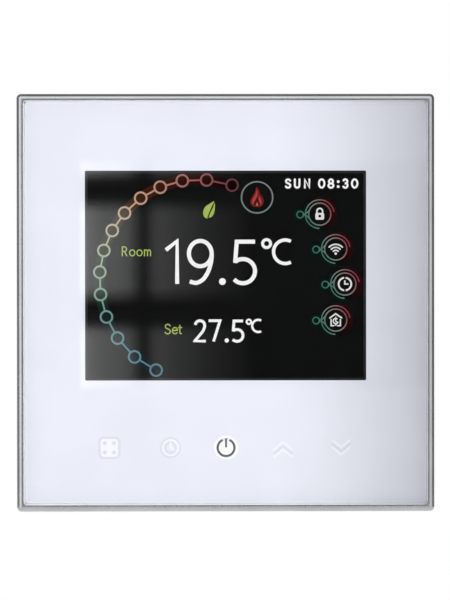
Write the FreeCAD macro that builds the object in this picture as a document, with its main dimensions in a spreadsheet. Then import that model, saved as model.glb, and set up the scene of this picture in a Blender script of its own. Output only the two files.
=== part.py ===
import FreeCAD, Part
import os
import re
import Sketcher

from FreeCAD import Placement, Rotation, Vector

# A square glass-fronted room thermostat for an 86 mm wall box.
# Frame: origin at the centre of the wall plane, +X to the right as the user sees it, +Z up, +Y into the wall.
# The front unit (glass, bezel, display, control board) pulls off a steel plate that carries the power box.
# A "front" or "back" value is a Y station: negative ones stand in front of the wall, positive ones behind it.

SIZES = {
    # square front and its glass
    "face_side": 86.0, "rim_width": 1.1, "glass_gap": 0.3, "face_corner": 0.95, "glass_corner": 0.4,
    "glass_front": -14.4, "glass_thick": 2.0, "glass_bevel": 0.35, "rim_front": -13.9, "rim_round": 0.9,
    "mask_thick": 0.1, "mask_side": 82.6, "tape_thick": 0.3, "tape_outer": 82.0, "tape_inner": 73.4,
    # display window and touch keys
    "window_wide": 57.9, "window_tall": 43.2, "window_z": 5.6,
    "key_pitch": 11.85, "key_z": -30.1,
    # bezel: side walls, the ledge the glass is taped to, screw bosses, a grip groove and the edge openings
    "bezel_back": -0.5, "bezel_wall": 1.8, "ledge_opening": 72.6, "ledge_thick": 1.5,
    "corner_boss": 38.0, "corner_boss_radius": 2.3, "side_boss_x": 38.3, "side_boss_z": 24.0,
    "side_boss_radius": 1.9, "groove_back": -2.6, "groove_wide": 0.7, "groove_deep": 0.35,
    "vent_count": 7, "vent_pitch": 4.2, "vent_wide": 2.4, "vent_tall": 1.2, "vent_back": -3.9,
    "pry_wide": 12.0, "pry_deep": 1.3, "catch_wide": 6.0, "catch_deep": 0.6, "catch_back": -2.9,
    "catch_thick": 0.8,
    # display module
    "gasket_border": 2.4, "gasket_inset": 0.2, "cell_wide": 66.0, "cell_tall": 47.0, "cell_thick": 1.2,
    "tray_wide": 69.2, "tray_tall": 50.0, "tray_thick": 2.2, "tray_recess": 0.6, "fit_gap": 0.2,
    "bracket_wall": 1.0, "bracket_wide": 71.6, "bracket_tall": 52.4, "bracket_deep": 4.0,
    "bracket_window_wide": 60.0, "bracket_window_tall": 40.0,
    "flex_wide": 16.0, "flex_thick": 0.15, "flex_radius": 0.75, "flex_tab": 2.5,
    # control board and what it carries on its front
    "board_front": -7.6, "board_thick": 1.6, "board_side": 80.6, "board_notch": 6.0,
    "guide_wide": 58.0, "guide_tall": 9.6, "guide_deep": 3.9, "guide_bore": 3.1, "guide_round": 2.4,
    "spring_radius": 2.4, "spring_wire": 0.2, "spring_pitch": 0.9, "spring_gap": 0.1,
    "led_wide": 1.6, "led_tall": 0.8, "led_deep": 0.6, "led_offset": 5.9,
    # header between the two units
    "header_poles": 8, "header_pitch": 2.54, "header_z": -6.0, "header_tall": 2.5, "header_deep": 2.4,
    "pin_side": 0.6, "pin_front": -8.2, "pin_back": 2.6, "pin_hole": 0.48, "socket_tall": 5.0,
    "socket_front": -1.5, "socket_gap": 0.6,
    # coin cell, room sensor
    "coin_x": 24.0, "coin_z": -22.0, "coin_radius": 6.25, "coin_thick": 2.0, "holder_radius": 7.5,
    "holder_deep": 1.6, "holder_gap": 0.1, "holder_mouth": 5.0,
    "sensor_x": -28.0, "sensor_z": -38.4, "sensor_radius": 1.1, "sensor_leg": 0.25, "sensor_leg_pitch": 1.0,
    # back cover of the front unit
    "cover_front": -3.4, "cover_thick": 1.4, "cover_side": 82.0, "cover_slot_wide": 22.0,
    "cover_slot_radius": 0.8, "cover_slot_pitch": 4.4, "cover_slot_count": 5, "cover_slot_z": 12.0,
    # small screws
    "screw_shank": 0.9, "screw_head": 1.7, "screw_head_thick": 0.8, "screw_play": 0.05,
    "cover_screw_length": 5.0, "board_screw_length": 3.6, "cross_wide": 0.5, "cross_long": 2.0,
    "cross_deep": 0.4,
    # steel mounting plate
    "plate_side": 81.0, "plate_thick": 1.0, "plate_corner": 3.0, "emboss_wide": 49.6, "emboss_tall": 61.6,
    "emboss_step": 0.6, "emboss_wall": 1.0, "plate_window_wide": 30.0, "plate_window_tall": 34.0,
    "wall_screw_spacing": 60.0, "slot_length": 8.0, "slot_radius": 2.1, "lug_x": 24.0, "lug_wide": 8.0,
    "lug_deep": 3.4, "lug_window": 4.4,
    "plate_screw_x": 20.0, "plate_screw_z": 26.0, "plate_screw_head": 2.2, "plate_screw_shank": 1.2,
    "plate_screw_length": 7.0, "post_radius": 2.1,
    # power box, its lid and its board
    "box_wide": 48.0, "box_tall": 60.0, "box_wall": 1.8, "box_back": 29.5, "step_back": 17.0,
    "step_z": -16.0, "box_slot_wide": 16.0, "box_slot_radius": 0.8, "box_slot_pitch": 4.0,
    "box_slot_count": 6, "box_slot_z": 4.0, "lid_thick": 1.6, "lid_gap": 0.1,
    "power_board_front": 3.4, "power_board_thick": 1.6, "power_board_notch": 5.4,
    # relay: x and z of its centre, its case and its magnet
    "relay_x": -5.5, "relay_z": 15.8, "relay_wide": 29.0, "relay_tall": 12.7, "relay_back": 20.7,
    "relay_wall": 0.8, "relay_base_thick": 1.6, "coil_left": -17.4, "coil_right": -4.6, "coil_y": 12.2,
    "coil_radius": 4.4, "flange_radius": 5.0, "flange_thick": 0.7, "core_radius": 1.8, "pole_x": -3.2,
    "pole_radius": 3.0, "pole_thick": 0.6, "yoke_left": -18.9, "yoke_right": -2.7, "yoke_thick": 1.2,
    "yoke_y": 17.8, "yoke_tall": 8.6, "yoke_foot": 7.2, "armature_x": -2.5, "armature_thick": 1.0,
    "armature_tall": 8.2, "armature_front": 8.6, "pivot_radius": 0.5, "pivot_tall": 9.6,
    "arm_right": 6.0, "arm_y": 18.0, "arm_thick": 0.8, "arm_tall": 5.0, "contact_x": 4.6,
    "contact_radius": 1.4, "contact_thick": 0.5, "contact_gap": 0.5, "post_thick": 0.8, "post_tall": 4.6,
    # switching transformer
    "core_x": -12.0, "core_z": -3.6, "core_wide": 16.0, "core_deep": 13.0, "core_tall": 6.0,
    "core_leg": 3.0, "core_centre": 4.4, "winding_wide": 9.6, "winding_tall": 11.4, "winding_round": 1.6,
    # parts with leads on the power board
    "tall_can_x": 4.0, "tall_can_z": -6.4, "tall_can_radius": 4.0, "tall_can_deep": 12.0,
    "low_can_x": 4.2, "low_can_z": 2.8, "low_can_radius": 3.2, "low_can_deep": 9.0,
    "can_rim": 0.4, "disc_x": 17.4, "disc_z": -10.2, "disc_radius": 4.6, "disc_thick": 3.6,
    "fuse_x": 15.2, "fuse_z": 16.4, "fuse_y": 8.4, "fuse_radius": 1.6, "fuse_length": 11.0,
    "fuse_cap_radius": 1.9, "fuse_cap_length": 2.4, "fuse_foot": 0.8,
    # six-pole rising-cage terminal block
    "terminal_pitch": 7.62, "terminal_wide": 47.6, "terminal_z": -23.2, "terminal_top": -16.2,
    "terminal_low": -30.0, "cavity_side": 5.6, "cavity_front": 18.2, "cavity_back": 26.0,
    "shelf_back": 26.6, "shelf_hole": 1.6, "driver_hole": 2.55, "entry_wide": 3.6, "entry_front": 19.0,
    "bar_front": 21.6, "bar_thick": 0.6, "bar_wide": 3.0, "bar_low": -25.8, "leg_z": -17.7,
    "leg_thick": 0.6, "leg_front": 3.0, "leg_play": 0.15,
    "cage_side": 5.3, "cage_front": 18.3, "cage_floor": 0.7, "cage_window": 3.3, "cage_top": 1.0,
    "cage_window_wide": 3.9, "terminal_shank": 1.4, "terminal_shank_front": 22.4, "terminal_head": 2.3,
    "terminal_head_front": 26.65, "terminal_head_thick": 1.6, "driver_slot": 0.7, "driver_slot_deep": 0.8,
    "thread_play": 0.05,
}

# Chips and blocks that sit on a board face: centre x and z, then wide (X), tall (Z) and deep (Y).
CONTROL_CHIPS = {
    "control_mcu": (-4.0, 22.0, 10.0, 10.0, 1.4),
    "touch_chip": (-14.0, -24.0, 9.9, 3.9, 1.4),
    "wifi_module_board": (-24.0, 8.0, 16.0, 24.0, 0.8),
}
SMALL_PARTS = {
    "crystal": (7.0, 22.0, 4.4, 2.2, 1.2),
    "inductor": (14.0, 10.0, 4.0, 4.0, 1.8),
    "regulator": (22.0, 10.0, 6.4, 3.4, 1.5),
    "buffer_chip": (13.0, 28.0, 5.0, 4.0, 1.2),
    "flash_chip": (-4.0, 33.0, 5.2, 4.0, 1.2),
    "left_chip_capacitor": (-13.0, 20.0, 1.6, 0.8, 0.8),
    "low_chip_capacitor": (-13.0, 24.0, 1.6, 0.8, 0.8),
    "right_chip_capacitor": (27.0, 16.0, 2.0, 1.2, 1.0),
    "pull_up_resistor": (4.0, -20.0, 1.6, 0.8, 0.5),
    "sensor_resistor": (-22.0, -33.0, 1.6, 0.8, 0.5),
}
POWER_BLOCKS = {
    "mains_capacitor": (15.2, 3.4, 6.0, 13.0, 12.0),
    "bridge_rectifier": (15.2, -21.8, 6.4, 4.8, 2.6),
}
BLOCK_FIELDS = ("x", "z", "wide", "tall", "deep")

GLASS_SIDE = "face_side - 2*rim_width - 2*glass_gap"
MASK_FRONT = "glass_front + glass_thick"
TAPE_FRONT = "glass_front + glass_thick + mask_thick"
LEDGE_FRONT = "glass_front + glass_thick + mask_thick + tape_thick"
LEDGE_BACK = "glass_front + glass_thick + mask_thick + tape_thick + ledge_thick"
RECESS_SIDE = "face_side - 2*rim_width"
BEZEL_INNER = "face_side - 2*bezel_wall"
BOARD_BACK = "board_front + board_thick"
POWER_BOARD_BACK = "power_board_front + power_board_thick"
COVER_BACK = "cover_front + cover_thick"
BOX_FRONT = "-emboss_step"
BOX_INNER_WIDE = "box_wide - 2*box_wall"
BOX_INNER_TALL = "box_tall - 2*box_wall"
PLATE_FACE = "-emboss_step - plate_thick"

KEYS = range(-2, 3)
CORNERS = ((-1, -1), (1, -1), (1, 1), (-1, 1))
POLES = range(6)
MAKE_AXIS_Y = Rotation(Vector(1, 0, 0), -90)
MAKE_AXIS_X = Rotation(Vector(0, 1, 0), 90)

document = FreeCAD.newDocument("wall_thermostat")
sheet = document.addObject("Spreadsheet::Sheet", "dims")
sub_parts = []


def fill_sheet():
    """Writes every size into the sheet, one alias to a cell."""
    cells = dict(SIZES)
    for group in (CONTROL_CHIPS, SMALL_PARTS, POWER_BLOCKS):
        for name, numbers in group.items():
            for field, number in zip(BLOCK_FIELDS, numbers):
                cells[f"{name}_{field}"] = number
    for row, (alias, number) in enumerate(cells.items(), start=1):
        sheet.set(f"A{row}", alias)
        sheet.set(f"B{row}", str(number))
        sheet.setAlias(f"B{row}", alias)
    document.recompute()


def value(expression):
    """The number that an expression in sheet aliases gives now."""
    return float(sheet.evalExpression(expression))


def bind(target, prop, expression):
    """Ties a property to the sheet."""
    target.setExpression(prop, re.sub(r"[a-z][a-z_]+", lambda word: f"dims.{word.group()}", expression))


def keep(thing, name):
    """Makes an object a sub-part: its label is the node's name."""
    thing.Label = name
    sub_parts.append(thing)
    return thing


# ---- Part primitives and booleans ----

def place(thing, x, y, z):
    for axis, expression in (("x", x), ("y", y), ("z", z)):
        bind(thing, f"Placement.Base.{axis}", expression)


def block(name, x, front, z, wide, deep, tall):
    """A box centred on x and z whose front face is at the station given."""
    box = document.addObject("Part::Box", name)
    bind(box, "Length", wide)
    bind(box, "Width", deep)
    bind(box, "Height", tall)
    place(box, f"{x} - ({wide})/2", front, f"{z} - ({tall})/2")
    return box


def rod(name, x, y, z, radius, length, turn=MAKE_AXIS_Y):
    """A cylinder that starts at a point and runs along +Y, or along the axis that turn gives."""
    cylinder = document.addObject("Part::Cylinder", name)
    bind(cylinder, "Radius", radius)
    bind(cylinder, "Height", length)
    cylinder.Placement = Placement(Vector(), turn)
    place(cylinder, x, y, z)
    return cylinder


def cone(name, x, y, z, first_radius, last_radius, length):
    """A cone along +Y."""
    taper = document.addObject("Part::Cone", name)
    bind(taper, "Radius1", first_radius)
    bind(taper, "Radius2", last_radius)
    bind(taper, "Height", length)
    taper.Placement = Placement(Vector(), MAKE_AXIS_Y)
    place(taper, x, y, z)
    return taper


def fuse(name, pieces):
    joined = document.addObject("Part::MultiFuse", name)
    joined.Shapes = pieces
    joined.Refine = True
    return joined


def group(name, pieces):
    """Separate solids that share one node."""
    together = document.addObject("Part::Compound", name)
    together.Links = pieces
    return together


def cut(name, base, tool):
    remainder = document.addObject("Part::Cut", name)
    remainder.Base = base
    remainder.Tool = tool
    return remainder


# ---- PartDesign bodies made of pads and pockets along Y ----

def rectangle(x, z, wide, tall, corner=None):
    return {"x": x, "z": z, "wide": wide, "tall": tall, "corner": corner}


def circle(x, z, radius):
    return {"x": x, "z": z, "radius": radius}


def slot(x, z, wide, radius):
    """A slot along X, as long as wide from end to end."""
    return {"x": x, "z": z, "wide": wide, "end_radius": radius}


def drive(sketch, kind, first, expression):
    """Adds a driven constraint: a radius, or a distance from the sketch's origin."""
    number = value(expression)
    if kind == "Radius":
        index = sketch.addConstraint(Sketcher.Constraint(kind, first, abs(number)))
    else:
        index = sketch.addConstraint(Sketcher.Constraint(kind, -1, 1, first[0], first[1], number))
    bind(sketch, f"Constraints[{index}]", expression)


def draw_circle(sketch, loop):
    centre = Vector(value(loop["x"]), value(loop["z"]), 0)
    ring = sketch.addGeometry(Part.Circle(centre, Vector(0, 0, 1), value(loop["radius"])))
    drive(sketch, "DistanceX", (ring, 3), loop["x"])
    drive(sketch, "DistanceY", (ring, 3), loop["z"])
    drive(sketch, "Radius", ring, loop["radius"])


def draw_slot(sketch, loop):
    x, z, wide, radius = (value(loop[key]) for key in ("x", "z", "wide", "end_radius"))
    reach = wide / 2 - radius
    low = Vector(0, -radius, 0)
    left, right = Vector(x - reach, z, 0), Vector(x + reach, z, 0)
    loop_edges = [
        sketch.addGeometry(Part.LineSegment(left + low, right + low)),
        sketch.addGeometry(Part.Arc(right + low, right + Vector(radius, 0, 0), right - low)),
        sketch.addGeometry(Part.LineSegment(right - low, left - low)),
        sketch.addGeometry(Part.Arc(left - low, left - Vector(radius, 0, 0), left + low)),
    ]
    for number, edge in enumerate(loop_edges):
        sketch.addConstraint(Sketcher.Constraint("Tangent", edge, 2, loop_edges[(number + 1) % 4], 1))
    sketch.addConstraint(Sketcher.Constraint("Horizontal", loop_edges[0]))
    sketch.addConstraint(Sketcher.Constraint("Equal", loop_edges[1], loop_edges[3]))
    drive(sketch, "Radius", loop_edges[1], loop["end_radius"])
    drive(sketch, "DistanceX", (loop_edges[1], 3), f"{loop['x']} + ({loop['wide']})/2 - {loop['end_radius']}")
    drive(sketch, "DistanceX", (loop_edges[3], 3), f"{loop['x']} - ({loop['wide']})/2 + {loop['end_radius']}")
    drive(sketch, "DistanceY", (loop_edges[1], 3), loop["z"])


def draw_rectangle(sketch, loop):
    """Four lines round a centre, joined at sharp corners or by equal tangent arcs."""
    x, z, wide, tall = (value(loop[key]) for key in ("x", "z", "wide", "tall"))
    corner = value(loop["corner"]) if loop["corner"] else 0.0
    left, right, low, high = x - wide / 2, x + wide / 2, z - tall / 2, z + tall / 2
    ends = (
        ((left + corner, low), (right - corner, low)),
        ((right, low + corner), (right, high - corner)),
        ((right - corner, high), (left + corner, high)),
        ((left, high - corner), (left, low + corner)),
    )
    lines = [sketch.addGeometry(Part.LineSegment(Vector(*start, 0), Vector(*end, 0))) for start, end in ends]
    for number, line in enumerate(lines):
        sketch.addConstraint(Sketcher.Constraint("Vertical" if number % 2 else "Horizontal", line))
    if loop["corner"]:
        join_with_arcs(sketch, lines, ends, corner, loop["corner"])
    else:
        for number, line in enumerate(lines):
            sketch.addConstraint(Sketcher.Constraint("Coincident", line, 2, lines[(number + 1) % 4], 1))
    drive(sketch, "DistanceX", (lines[3], 1), f"{loop['x']} - ({loop['wide']})/2")
    drive(sketch, "DistanceX", (lines[1], 1), f"{loop['x']} + ({loop['wide']})/2")
    drive(sketch, "DistanceY", (lines[0], 1), f"{loop['z']} - ({loop['tall']})/2")
    drive(sketch, "DistanceY", (lines[2], 1), f"{loop['z']} + ({loop['tall']})/2")


def join_with_arcs(sketch, lines, ends, corner, expression):
    arcs = []
    for number, line in enumerate(lines):
        following = (number + 1) % 4
        start, end = Vector(*ends[number][1], 0), Vector(*ends[following][0], 0)
        along = Vector(start.x - ends[number][0][0], start.y - ends[number][0][1], 0).normalize()
        inward = Vector(-along.y, along.x, 0)
        centre = start + inward * corner
        middle = centre + (along - inward) * (corner / 2 ** 0.5)
        arc = sketch.addGeometry(Part.Arc(start, middle, end))
        sketch.addConstraint(Sketcher.Constraint("Tangent", line, 2, arc, 1))
        sketch.addConstraint(Sketcher.Constraint("Tangent", arc, 2, lines[following], 1))
        arcs.append(arc)
    for arc in arcs[1:]:
        sketch.addConstraint(Sketcher.Constraint("Equal", arcs[0], arc))
    drive(sketch, "Radius", arcs[0], expression)


def wall_sketch(body, name, station, loops):
    """A sketch parallel to the wall: its x is X and its y is Z."""
    plane = next(item for item in body.Origin.OriginFeatures if item.Role == "XZ_Plane")
    sketch = body.newObject("Sketcher::SketchObject", name)
    sketch.AttachmentSupport = [(plane, "")]
    sketch.MapMode = "FlatFace"
    bind(sketch, "AttachmentOffset.Base.z", f"-({station})")
    for loop in loops:
        if "radius" in loop:
            draw_circle(sketch, loop)
        elif "end_radius" in loop:
            draw_slot(sketch, loop)
        else:
            draw_rectangle(sketch, loop)
    return sketch


def pad(body, tag, front, back, loops):
    """Adds material between two stations."""
    feature = body.newObject("PartDesign::Pad", f"{body.Name}_{tag}")
    feature.Profile = wall_sketch(body, f"{body.Name}_{tag}_sketch", back, loops)
    bind(feature, "Length", f"({back}) - ({front})")
    document.recompute()
    return feature


def pocket(body, tag, front, back, loops):
    """Removes material between two stations, and makes sure that it did."""
    before = body.Shape.Volume
    feature = body.newObject("PartDesign::Pocket", f"{body.Name}_{tag}")
    feature.Profile = wall_sketch(body, f"{body.Name}_{tag}_sketch", front, loops)
    bind(feature, "Length", f"({back}) - ({front})")
    document.recompute()
    if not body.Shape.Volume < before:
        raise RuntimeError(f"{feature.Name} removed nothing")
    return feature


def new_body(name):
    return document.addObject("PartDesign::Body", name)


def edges_where(feature, test):
    """Names of the edges whose every end point passes the test."""
    chosen = []
    for number, edge in enumerate(feature.Shape.Edges, start=1):
        if all(test(vertex.Point) for vertex in edge.Vertexes):
            chosen.append(f"Edge{number}")
    return chosen


def dress(body, kind, tag, size_property, size, test):
    """A fillet or chamfer on the edges that pass the test."""
    base = body.Tip
    feature = body.newObject(f"PartDesign::{kind}", f"{body.Name}_{tag}")
    feature.Base = (base, edges_where(base, test))
    bind(feature, size_property, size)
    document.recompute()
    return feature


def near(number, expression):
    return abs(number - value(expression)) < 1e-4


# ---- screws ----

def cross_recess(name, x, front, z):
    """The cross-shaped driver recess in a screw head."""
    flat_arm = block(f"{name}_flat_arm", x, front, z, "cross_long", "cross_deep", "cross_wide")
    tall_arm = block(f"{name}_tall_arm", x, front, z, "cross_wide", "cross_deep", "cross_long")
    return fuse(f"{name}_recess", [flat_arm, tall_arm])


def cross_screw(name, x, head_back, z, length):
    """A small pan-head screw driven from behind, with its shank pointing to the front."""
    head_front = f"{head_back} - screw_head_thick"
    shank = rod(f"{name}_shank", x, f"{head_front} - ({length})", z, "screw_shank", length)
    head = rod(f"{name}_head", x, head_front, z, "screw_head", "screw_head_thick")
    recess = cross_recess(name, x, f"{head_back} - cross_deep", z)
    return cut(name, fuse(f"{name}_blank", [shank, head]), recess)


def screw_group(name, head_back, length, places):
    screws = [
        cross_screw(f"{name}_{number}", x, head_back, z, length)
        for number, (x, z) in enumerate(places, start=1)
    ]
    keep(group(name, screws), name)


def corners_at(x, z):
    return [(f"{side}*{x}", f"{level}*{z}") for side, level in CORNERS]


# ---- front unit: glass and bezel ----

def make_front_glass():
    body = new_body("front_glass")
    outline = rectangle("0", "0", GLASS_SIDE, GLASS_SIDE, "glass_corner")
    pad(body, "sheet", "glass_front", MASK_FRONT, [outline])
    dress(body, "Chamfer", "bevel", "Size", "glass_bevel", lambda point: near(point.y, "glass_front"))
    keep(body, "front_glass")


def make_printed_mask():
    """The white ink behind the glass, open at the display."""
    body = new_body("printed_mask")
    outline = rectangle("0", "0", "mask_side", "mask_side")
    window = rectangle("0", "window_z", "window_wide", "window_tall")
    pad(body, "film", MASK_FRONT, TAPE_FRONT, [outline, window])
    keep(body, "printed_mask")


def make_glass_tape():
    body = new_body("glass_tape")
    loops = [rectangle("0", "0", "tape_outer", "tape_outer"), rectangle("0", "0", "tape_inner", "tape_inner")]
    pad(body, "frame", TAPE_FRONT, LEDGE_FRONT, loops)
    keep(body, "glass_tape")


def make_bezel_frame():
    body = new_body("bezel_moulding")
    outline = rectangle("0", "0", "face_side", "face_side", "face_corner")
    pad(body, "block", "rim_front", "bezel_back", [outline])
    glass_recess = rectangle("0", "0", RECESS_SIDE, RECESS_SIDE, "glass_corner")
    pocket(body, "glass_recess", "rim_front", LEDGE_FRONT, [glass_recess])
    pocket(body, "opening", LEDGE_FRONT, LEDGE_BACK, [rectangle("0", "0", "ledge_opening", "ledge_opening")])
    inside = rectangle("0", "0", BEZEL_INNER, BEZEL_INNER, "glass_corner")
    pocket(body, "inside", LEDGE_BACK, "bezel_back", [inside])
    corner_bosses = [circle(x, z, "corner_boss_radius") for x, z in corners_at("corner_boss", "corner_boss")]
    pad(body, "corner_bosses", LEDGE_BACK, "cover_front", corner_bosses)
    side_bosses = [circle(x, z, "side_boss_radius") for x, z in corners_at("side_boss_x", "side_boss_z")]
    pad(body, "side_bosses", LEDGE_BACK, "board_front", side_bosses)
    pilot = "screw_shank + screw_play"
    corner_pilots = [circle(x, z, pilot) for x, z in corners_at("corner_boss", "corner_boss")]
    pocket(body, "corner_pilots", "cover_front - cover_screw_length", "cover_front", corner_pilots)
    side_pilots = [circle(x, z, pilot) for x, z in corners_at("side_boss_x", "side_boss_z")]
    pocket(body, "side_pilots", "board_front - board_screw_length + board_thick", "board_front", side_pilots)
    dress(body, "Fillet", "rim_edge", "Radius", "rim_round", on_rim_edge)
    keep(cut("bezel_frame", add_catches(body), bezel_openings()), "bezel_frame")


def on_rim_edge(point):
    """True on the outer front edge of the bezel."""
    reach = max(abs(point.x), abs(point.z))
    return near(point.y, "rim_front") and reach > value("face_side/2 - rim_width/2")


def add_catches(body):
    """Four ribs inside the top and bottom walls that hold the plate's lugs."""
    catches = [
        block(
            f"catch_{number}", f"{side}*lug_x", "catch_back - catch_thick",
            f"{level}*(({BEZEL_INNER})/2 - catch_deep/2)", "catch_wide", "catch_thick", "catch_deep",
        )
        for number, (side, level) in enumerate(CORNERS, start=1)
    ]
    return fuse("bezel_with_catches", [body] + catches)


def bezel_openings():
    """Vents in the top and bottom walls, a pry slot at the bottom and the grip groove round the sides."""
    cuts = []
    middle = "(vent_count - 1)/2"
    for level in (-1, 1):
        for number in range(int(value("vent_count"))):
            cuts.append(block(
                f"vent_{level + 1}_{number}", f"({number} - {middle})*vent_pitch", "vent_back - vent_tall",
                f"{level}*(face_side/2 - bezel_wall/2)", "vent_wide", "vent_tall", "2*bezel_wall",
            ))
    cuts.append(block(
        "pry_slot", "0", "bezel_back - pry_deep", "bezel_wall/2 - face_side/2", "pry_wide", "2*pry_deep",
        "2*bezel_wall",
    ))
    groove_front, beyond = "groove_back - groove_wide", "2*face_side"
    band = block("groove_outer", "0", groove_front, "0", beyond, "groove_wide", beyond)
    spine = "face_side - 2*groove_deep"
    kept = block("groove_inner", "0", "groove_back - 2*groove_wide", "0", spine, "3*groove_wide", spine)
    cuts.append(cut("grip_groove", band, kept))
    return fuse("bezel_cuts", cuts)


# ---- front unit: display ----

def make_display_gasket():
    body = new_body("display_gasket")
    outer_wide = "window_wide + 2*gasket_border + 2*gasket_inset"
    outer_tall = "window_tall + 2*gasket_inset + gasket_border"
    outer = rectangle("0", "window_z", outer_wide, outer_tall)
    inner = rectangle("0", "window_z", "window_wide + 2*gasket_inset", "window_tall + 2*gasket_inset")
    pad(body, "foam", TAPE_FRONT, LEDGE_FRONT, [outer, inner])
    keep(body, "display_gasket")


def make_lcd_cell():
    body = new_body("lcd_cell")
    outline = rectangle("0", "window_z", "cell_wide", "cell_tall")
    pad(body, "panel", LEDGE_FRONT, f"{LEDGE_FRONT} + cell_thick", [outline])
    keep(body, "lcd_cell")


def make_lcd_backlight():
    """A tray that the cell sits in."""
    body = new_body("lcd_backlight")
    cell_back = f"{LEDGE_FRONT} + cell_thick"
    front = f"{cell_back} - tray_recess"
    pad(body, "tray", front, f"{front} + tray_thick", [rectangle("0", "window_z", "tray_wide", "tray_tall")])
    seat = rectangle("0", "window_z", "cell_wide + 2*fit_gap", "cell_tall + 2*fit_gap")
    pocket(body, "seat", front, cell_back, [seat])
    keep(body, "lcd_backlight")


def make_display_bracket():
    """The plastic cradle between the display and the control board."""
    body = new_body("display_bracket")
    front = "board_front - bracket_deep"
    tray_back = f"{LEDGE_FRONT} + cell_thick - tray_recess + tray_thick"
    pad(body, "frame", front, "board_front", [rectangle("0", "window_z", "bracket_wide", "bracket_tall")])
    seat = rectangle("0", "window_z", "tray_wide + 2*fit_gap", "tray_tall + 2*fit_gap")
    pocket(body, "seat", front, tray_back, [seat])
    window = rectangle("0", "window_z", "bracket_window_wide", "bracket_window_tall")
    pocket(body, "window", tray_back, "board_front", [window])
    keep(body, "display_bracket")


def make_lcd_flex_cable():
    """A flat ribbon from behind the display, bent back on itself and flat on the control board."""
    centre_y = "board_front - flex_radius"
    low = "window_z - bracket_window_tall/2 + flex_tab"
    outer = rod("flex_outer", "-flex_wide/2", centre_y, low, "flex_radius", "flex_wide", MAKE_AXIS_X)
    inner_radius = "flex_radius - flex_thick"
    inner = rod("flex_inner", "-flex_wide", centre_y, low, inner_radius, "2*flex_wide", MAKE_AXIS_X)
    ring = cut("flex_ring", outer, inner)
    upper_half = block("flex_upper", "0", f"{centre_y} - 2*flex_radius", f"{low} + flex_radius",
                       "2*flex_wide", "4*flex_radius", "2*flex_radius")
    bend = cut("flex_bend", ring, upper_half)
    runs = [
        block(f"flex_run_{number}", "0", front, f"{low} + flex_tab/2", "flex_wide", "flex_thick", "flex_tab")
        for number, front in enumerate((f"{centre_y} - flex_radius", "board_front - flex_thick"))
    ]
    keep(fuse("lcd_flex_cable", [bend] + runs), "lcd_flex_cable")


# ---- front unit: touch keys ----

def make_touch_springs():
    """Five coils that carry the touch signal from the board to the back of the glass."""
    coils = []
    for key in KEYS:
        path = document.addObject("Part::Helix", f"spring_path_{key + 2}")
        bind(path, "Radius", "spring_radius")
        bind(path, "Pitch", "spring_pitch")
        bind(path, "Height", f"board_front - ({TAPE_FRONT}) - 2*spring_wire - 2*spring_gap")
        wire = document.addObject("Part::Circle", f"spring_wire_{key + 2}")
        bind(wire, "Radius", "spring_wire")
        wire.Placement = Placement(Vector(), Rotation(Vector(1, 0, 0), 90))
        bind(wire, "Placement.Base.x", "spring_radius")
        coil = document.addObject("Part::Sweep", f"touch_spring_{key + 2}")
        coil.Sections = [wire]
        coil.Spine = (path, [])
        coil.Solid = True
        coil.Frenet = True
        coil.Placement = Placement(Vector(), MAKE_AXIS_Y)
        place(coil, f"{key}*key_pitch", f"{TAPE_FRONT} + spring_wire + spring_gap", "key_z")
        coils.append(coil)
    keep(group("touch_springs", coils), "touch_springs")


def make_key_light_guide():
    body = new_body("key_light_guide")
    bores = [circle(f"{key}*key_pitch", "key_z", "guide_bore") for key in KEYS]
    bar = rectangle("0", "key_z", "guide_wide", "guide_tall", "guide_round")
    pad(body, "bar", "board_front - guide_deep", "board_front", [bar] + bores)
    keep(body, "key_light_guide")


def make_key_leds():
    leds = [
        block(f"key_led_{key + 2}", f"{key}*key_pitch", "board_front - led_deep", "key_z + led_offset",
              "led_wide", "led_deep", "led_tall")
        for key in KEYS
    ]
    keep(group("key_leds", leds), "key_leds")


# ---- front unit: control board ----

def header_places():
    middle = "(header_poles - 1)/2"
    return [(f"({pole} - {middle})*header_pitch", "header_z") for pole in range(int(value("header_poles")))]


def make_control_board():
    body = new_body("control_board")
    pad(body, "sheet", "board_front", BOARD_BACK, [rectangle("0", "0", "board_side", "board_side")])
    notch_centre = "(board_side/2 - board_notch/2)"
    notches = [
        rectangle(x, z, "board_notch", "board_notch") for x, z in corners_at(notch_centre, notch_centre)
    ]
    pocket(body, "notches", "board_front", BOARD_BACK, notches)
    holes = [circle(x, z, "screw_shank + screw_play") for x, z in corners_at("side_boss_x", "side_boss_z")]
    holes += [circle(x, z, "pin_hole") for x, z in header_places()]
    pocket(body, "holes", "board_front", BOARD_BACK, holes)
    keep(body, "control_board")


def chip(name, station):
    return block(name, f"{name}_x", station, f"{name}_z", f"{name}_wide", f"{name}_deep", f"{name}_tall")


def make_control_chips():
    for name in CONTROL_CHIPS:
        keep(chip(name, BOARD_BACK), name)
    small_parts = [chip(name, BOARD_BACK) for name in SMALL_PARTS]
    keep(group("control_board_parts", small_parts), "control_board_parts")


def make_wifi_shield_can():
    """The pressed cover over the radio, open towards its board."""
    wide = "wifi_module_board_wide - 2*fit_gap"
    tall = "0.7*wifi_module_board_tall"
    z = "wifi_module_board_z - 0.12*wifi_module_board_tall"
    base = f"{BOARD_BACK} + wifi_module_board_deep"
    outside = block("can_outside", "wifi_module_board_x", base, z, wide, "2*wifi_module_board_deep", tall)
    inside = block("can_inside", "wifi_module_board_x", base, z, f"{wide} - 2*fit_gap",
                   "2*wifi_module_board_deep - fit_gap", f"{tall} - 2*fit_gap")
    keep(cut("wifi_shield_can", outside, inside), "wifi_shield_can")


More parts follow.
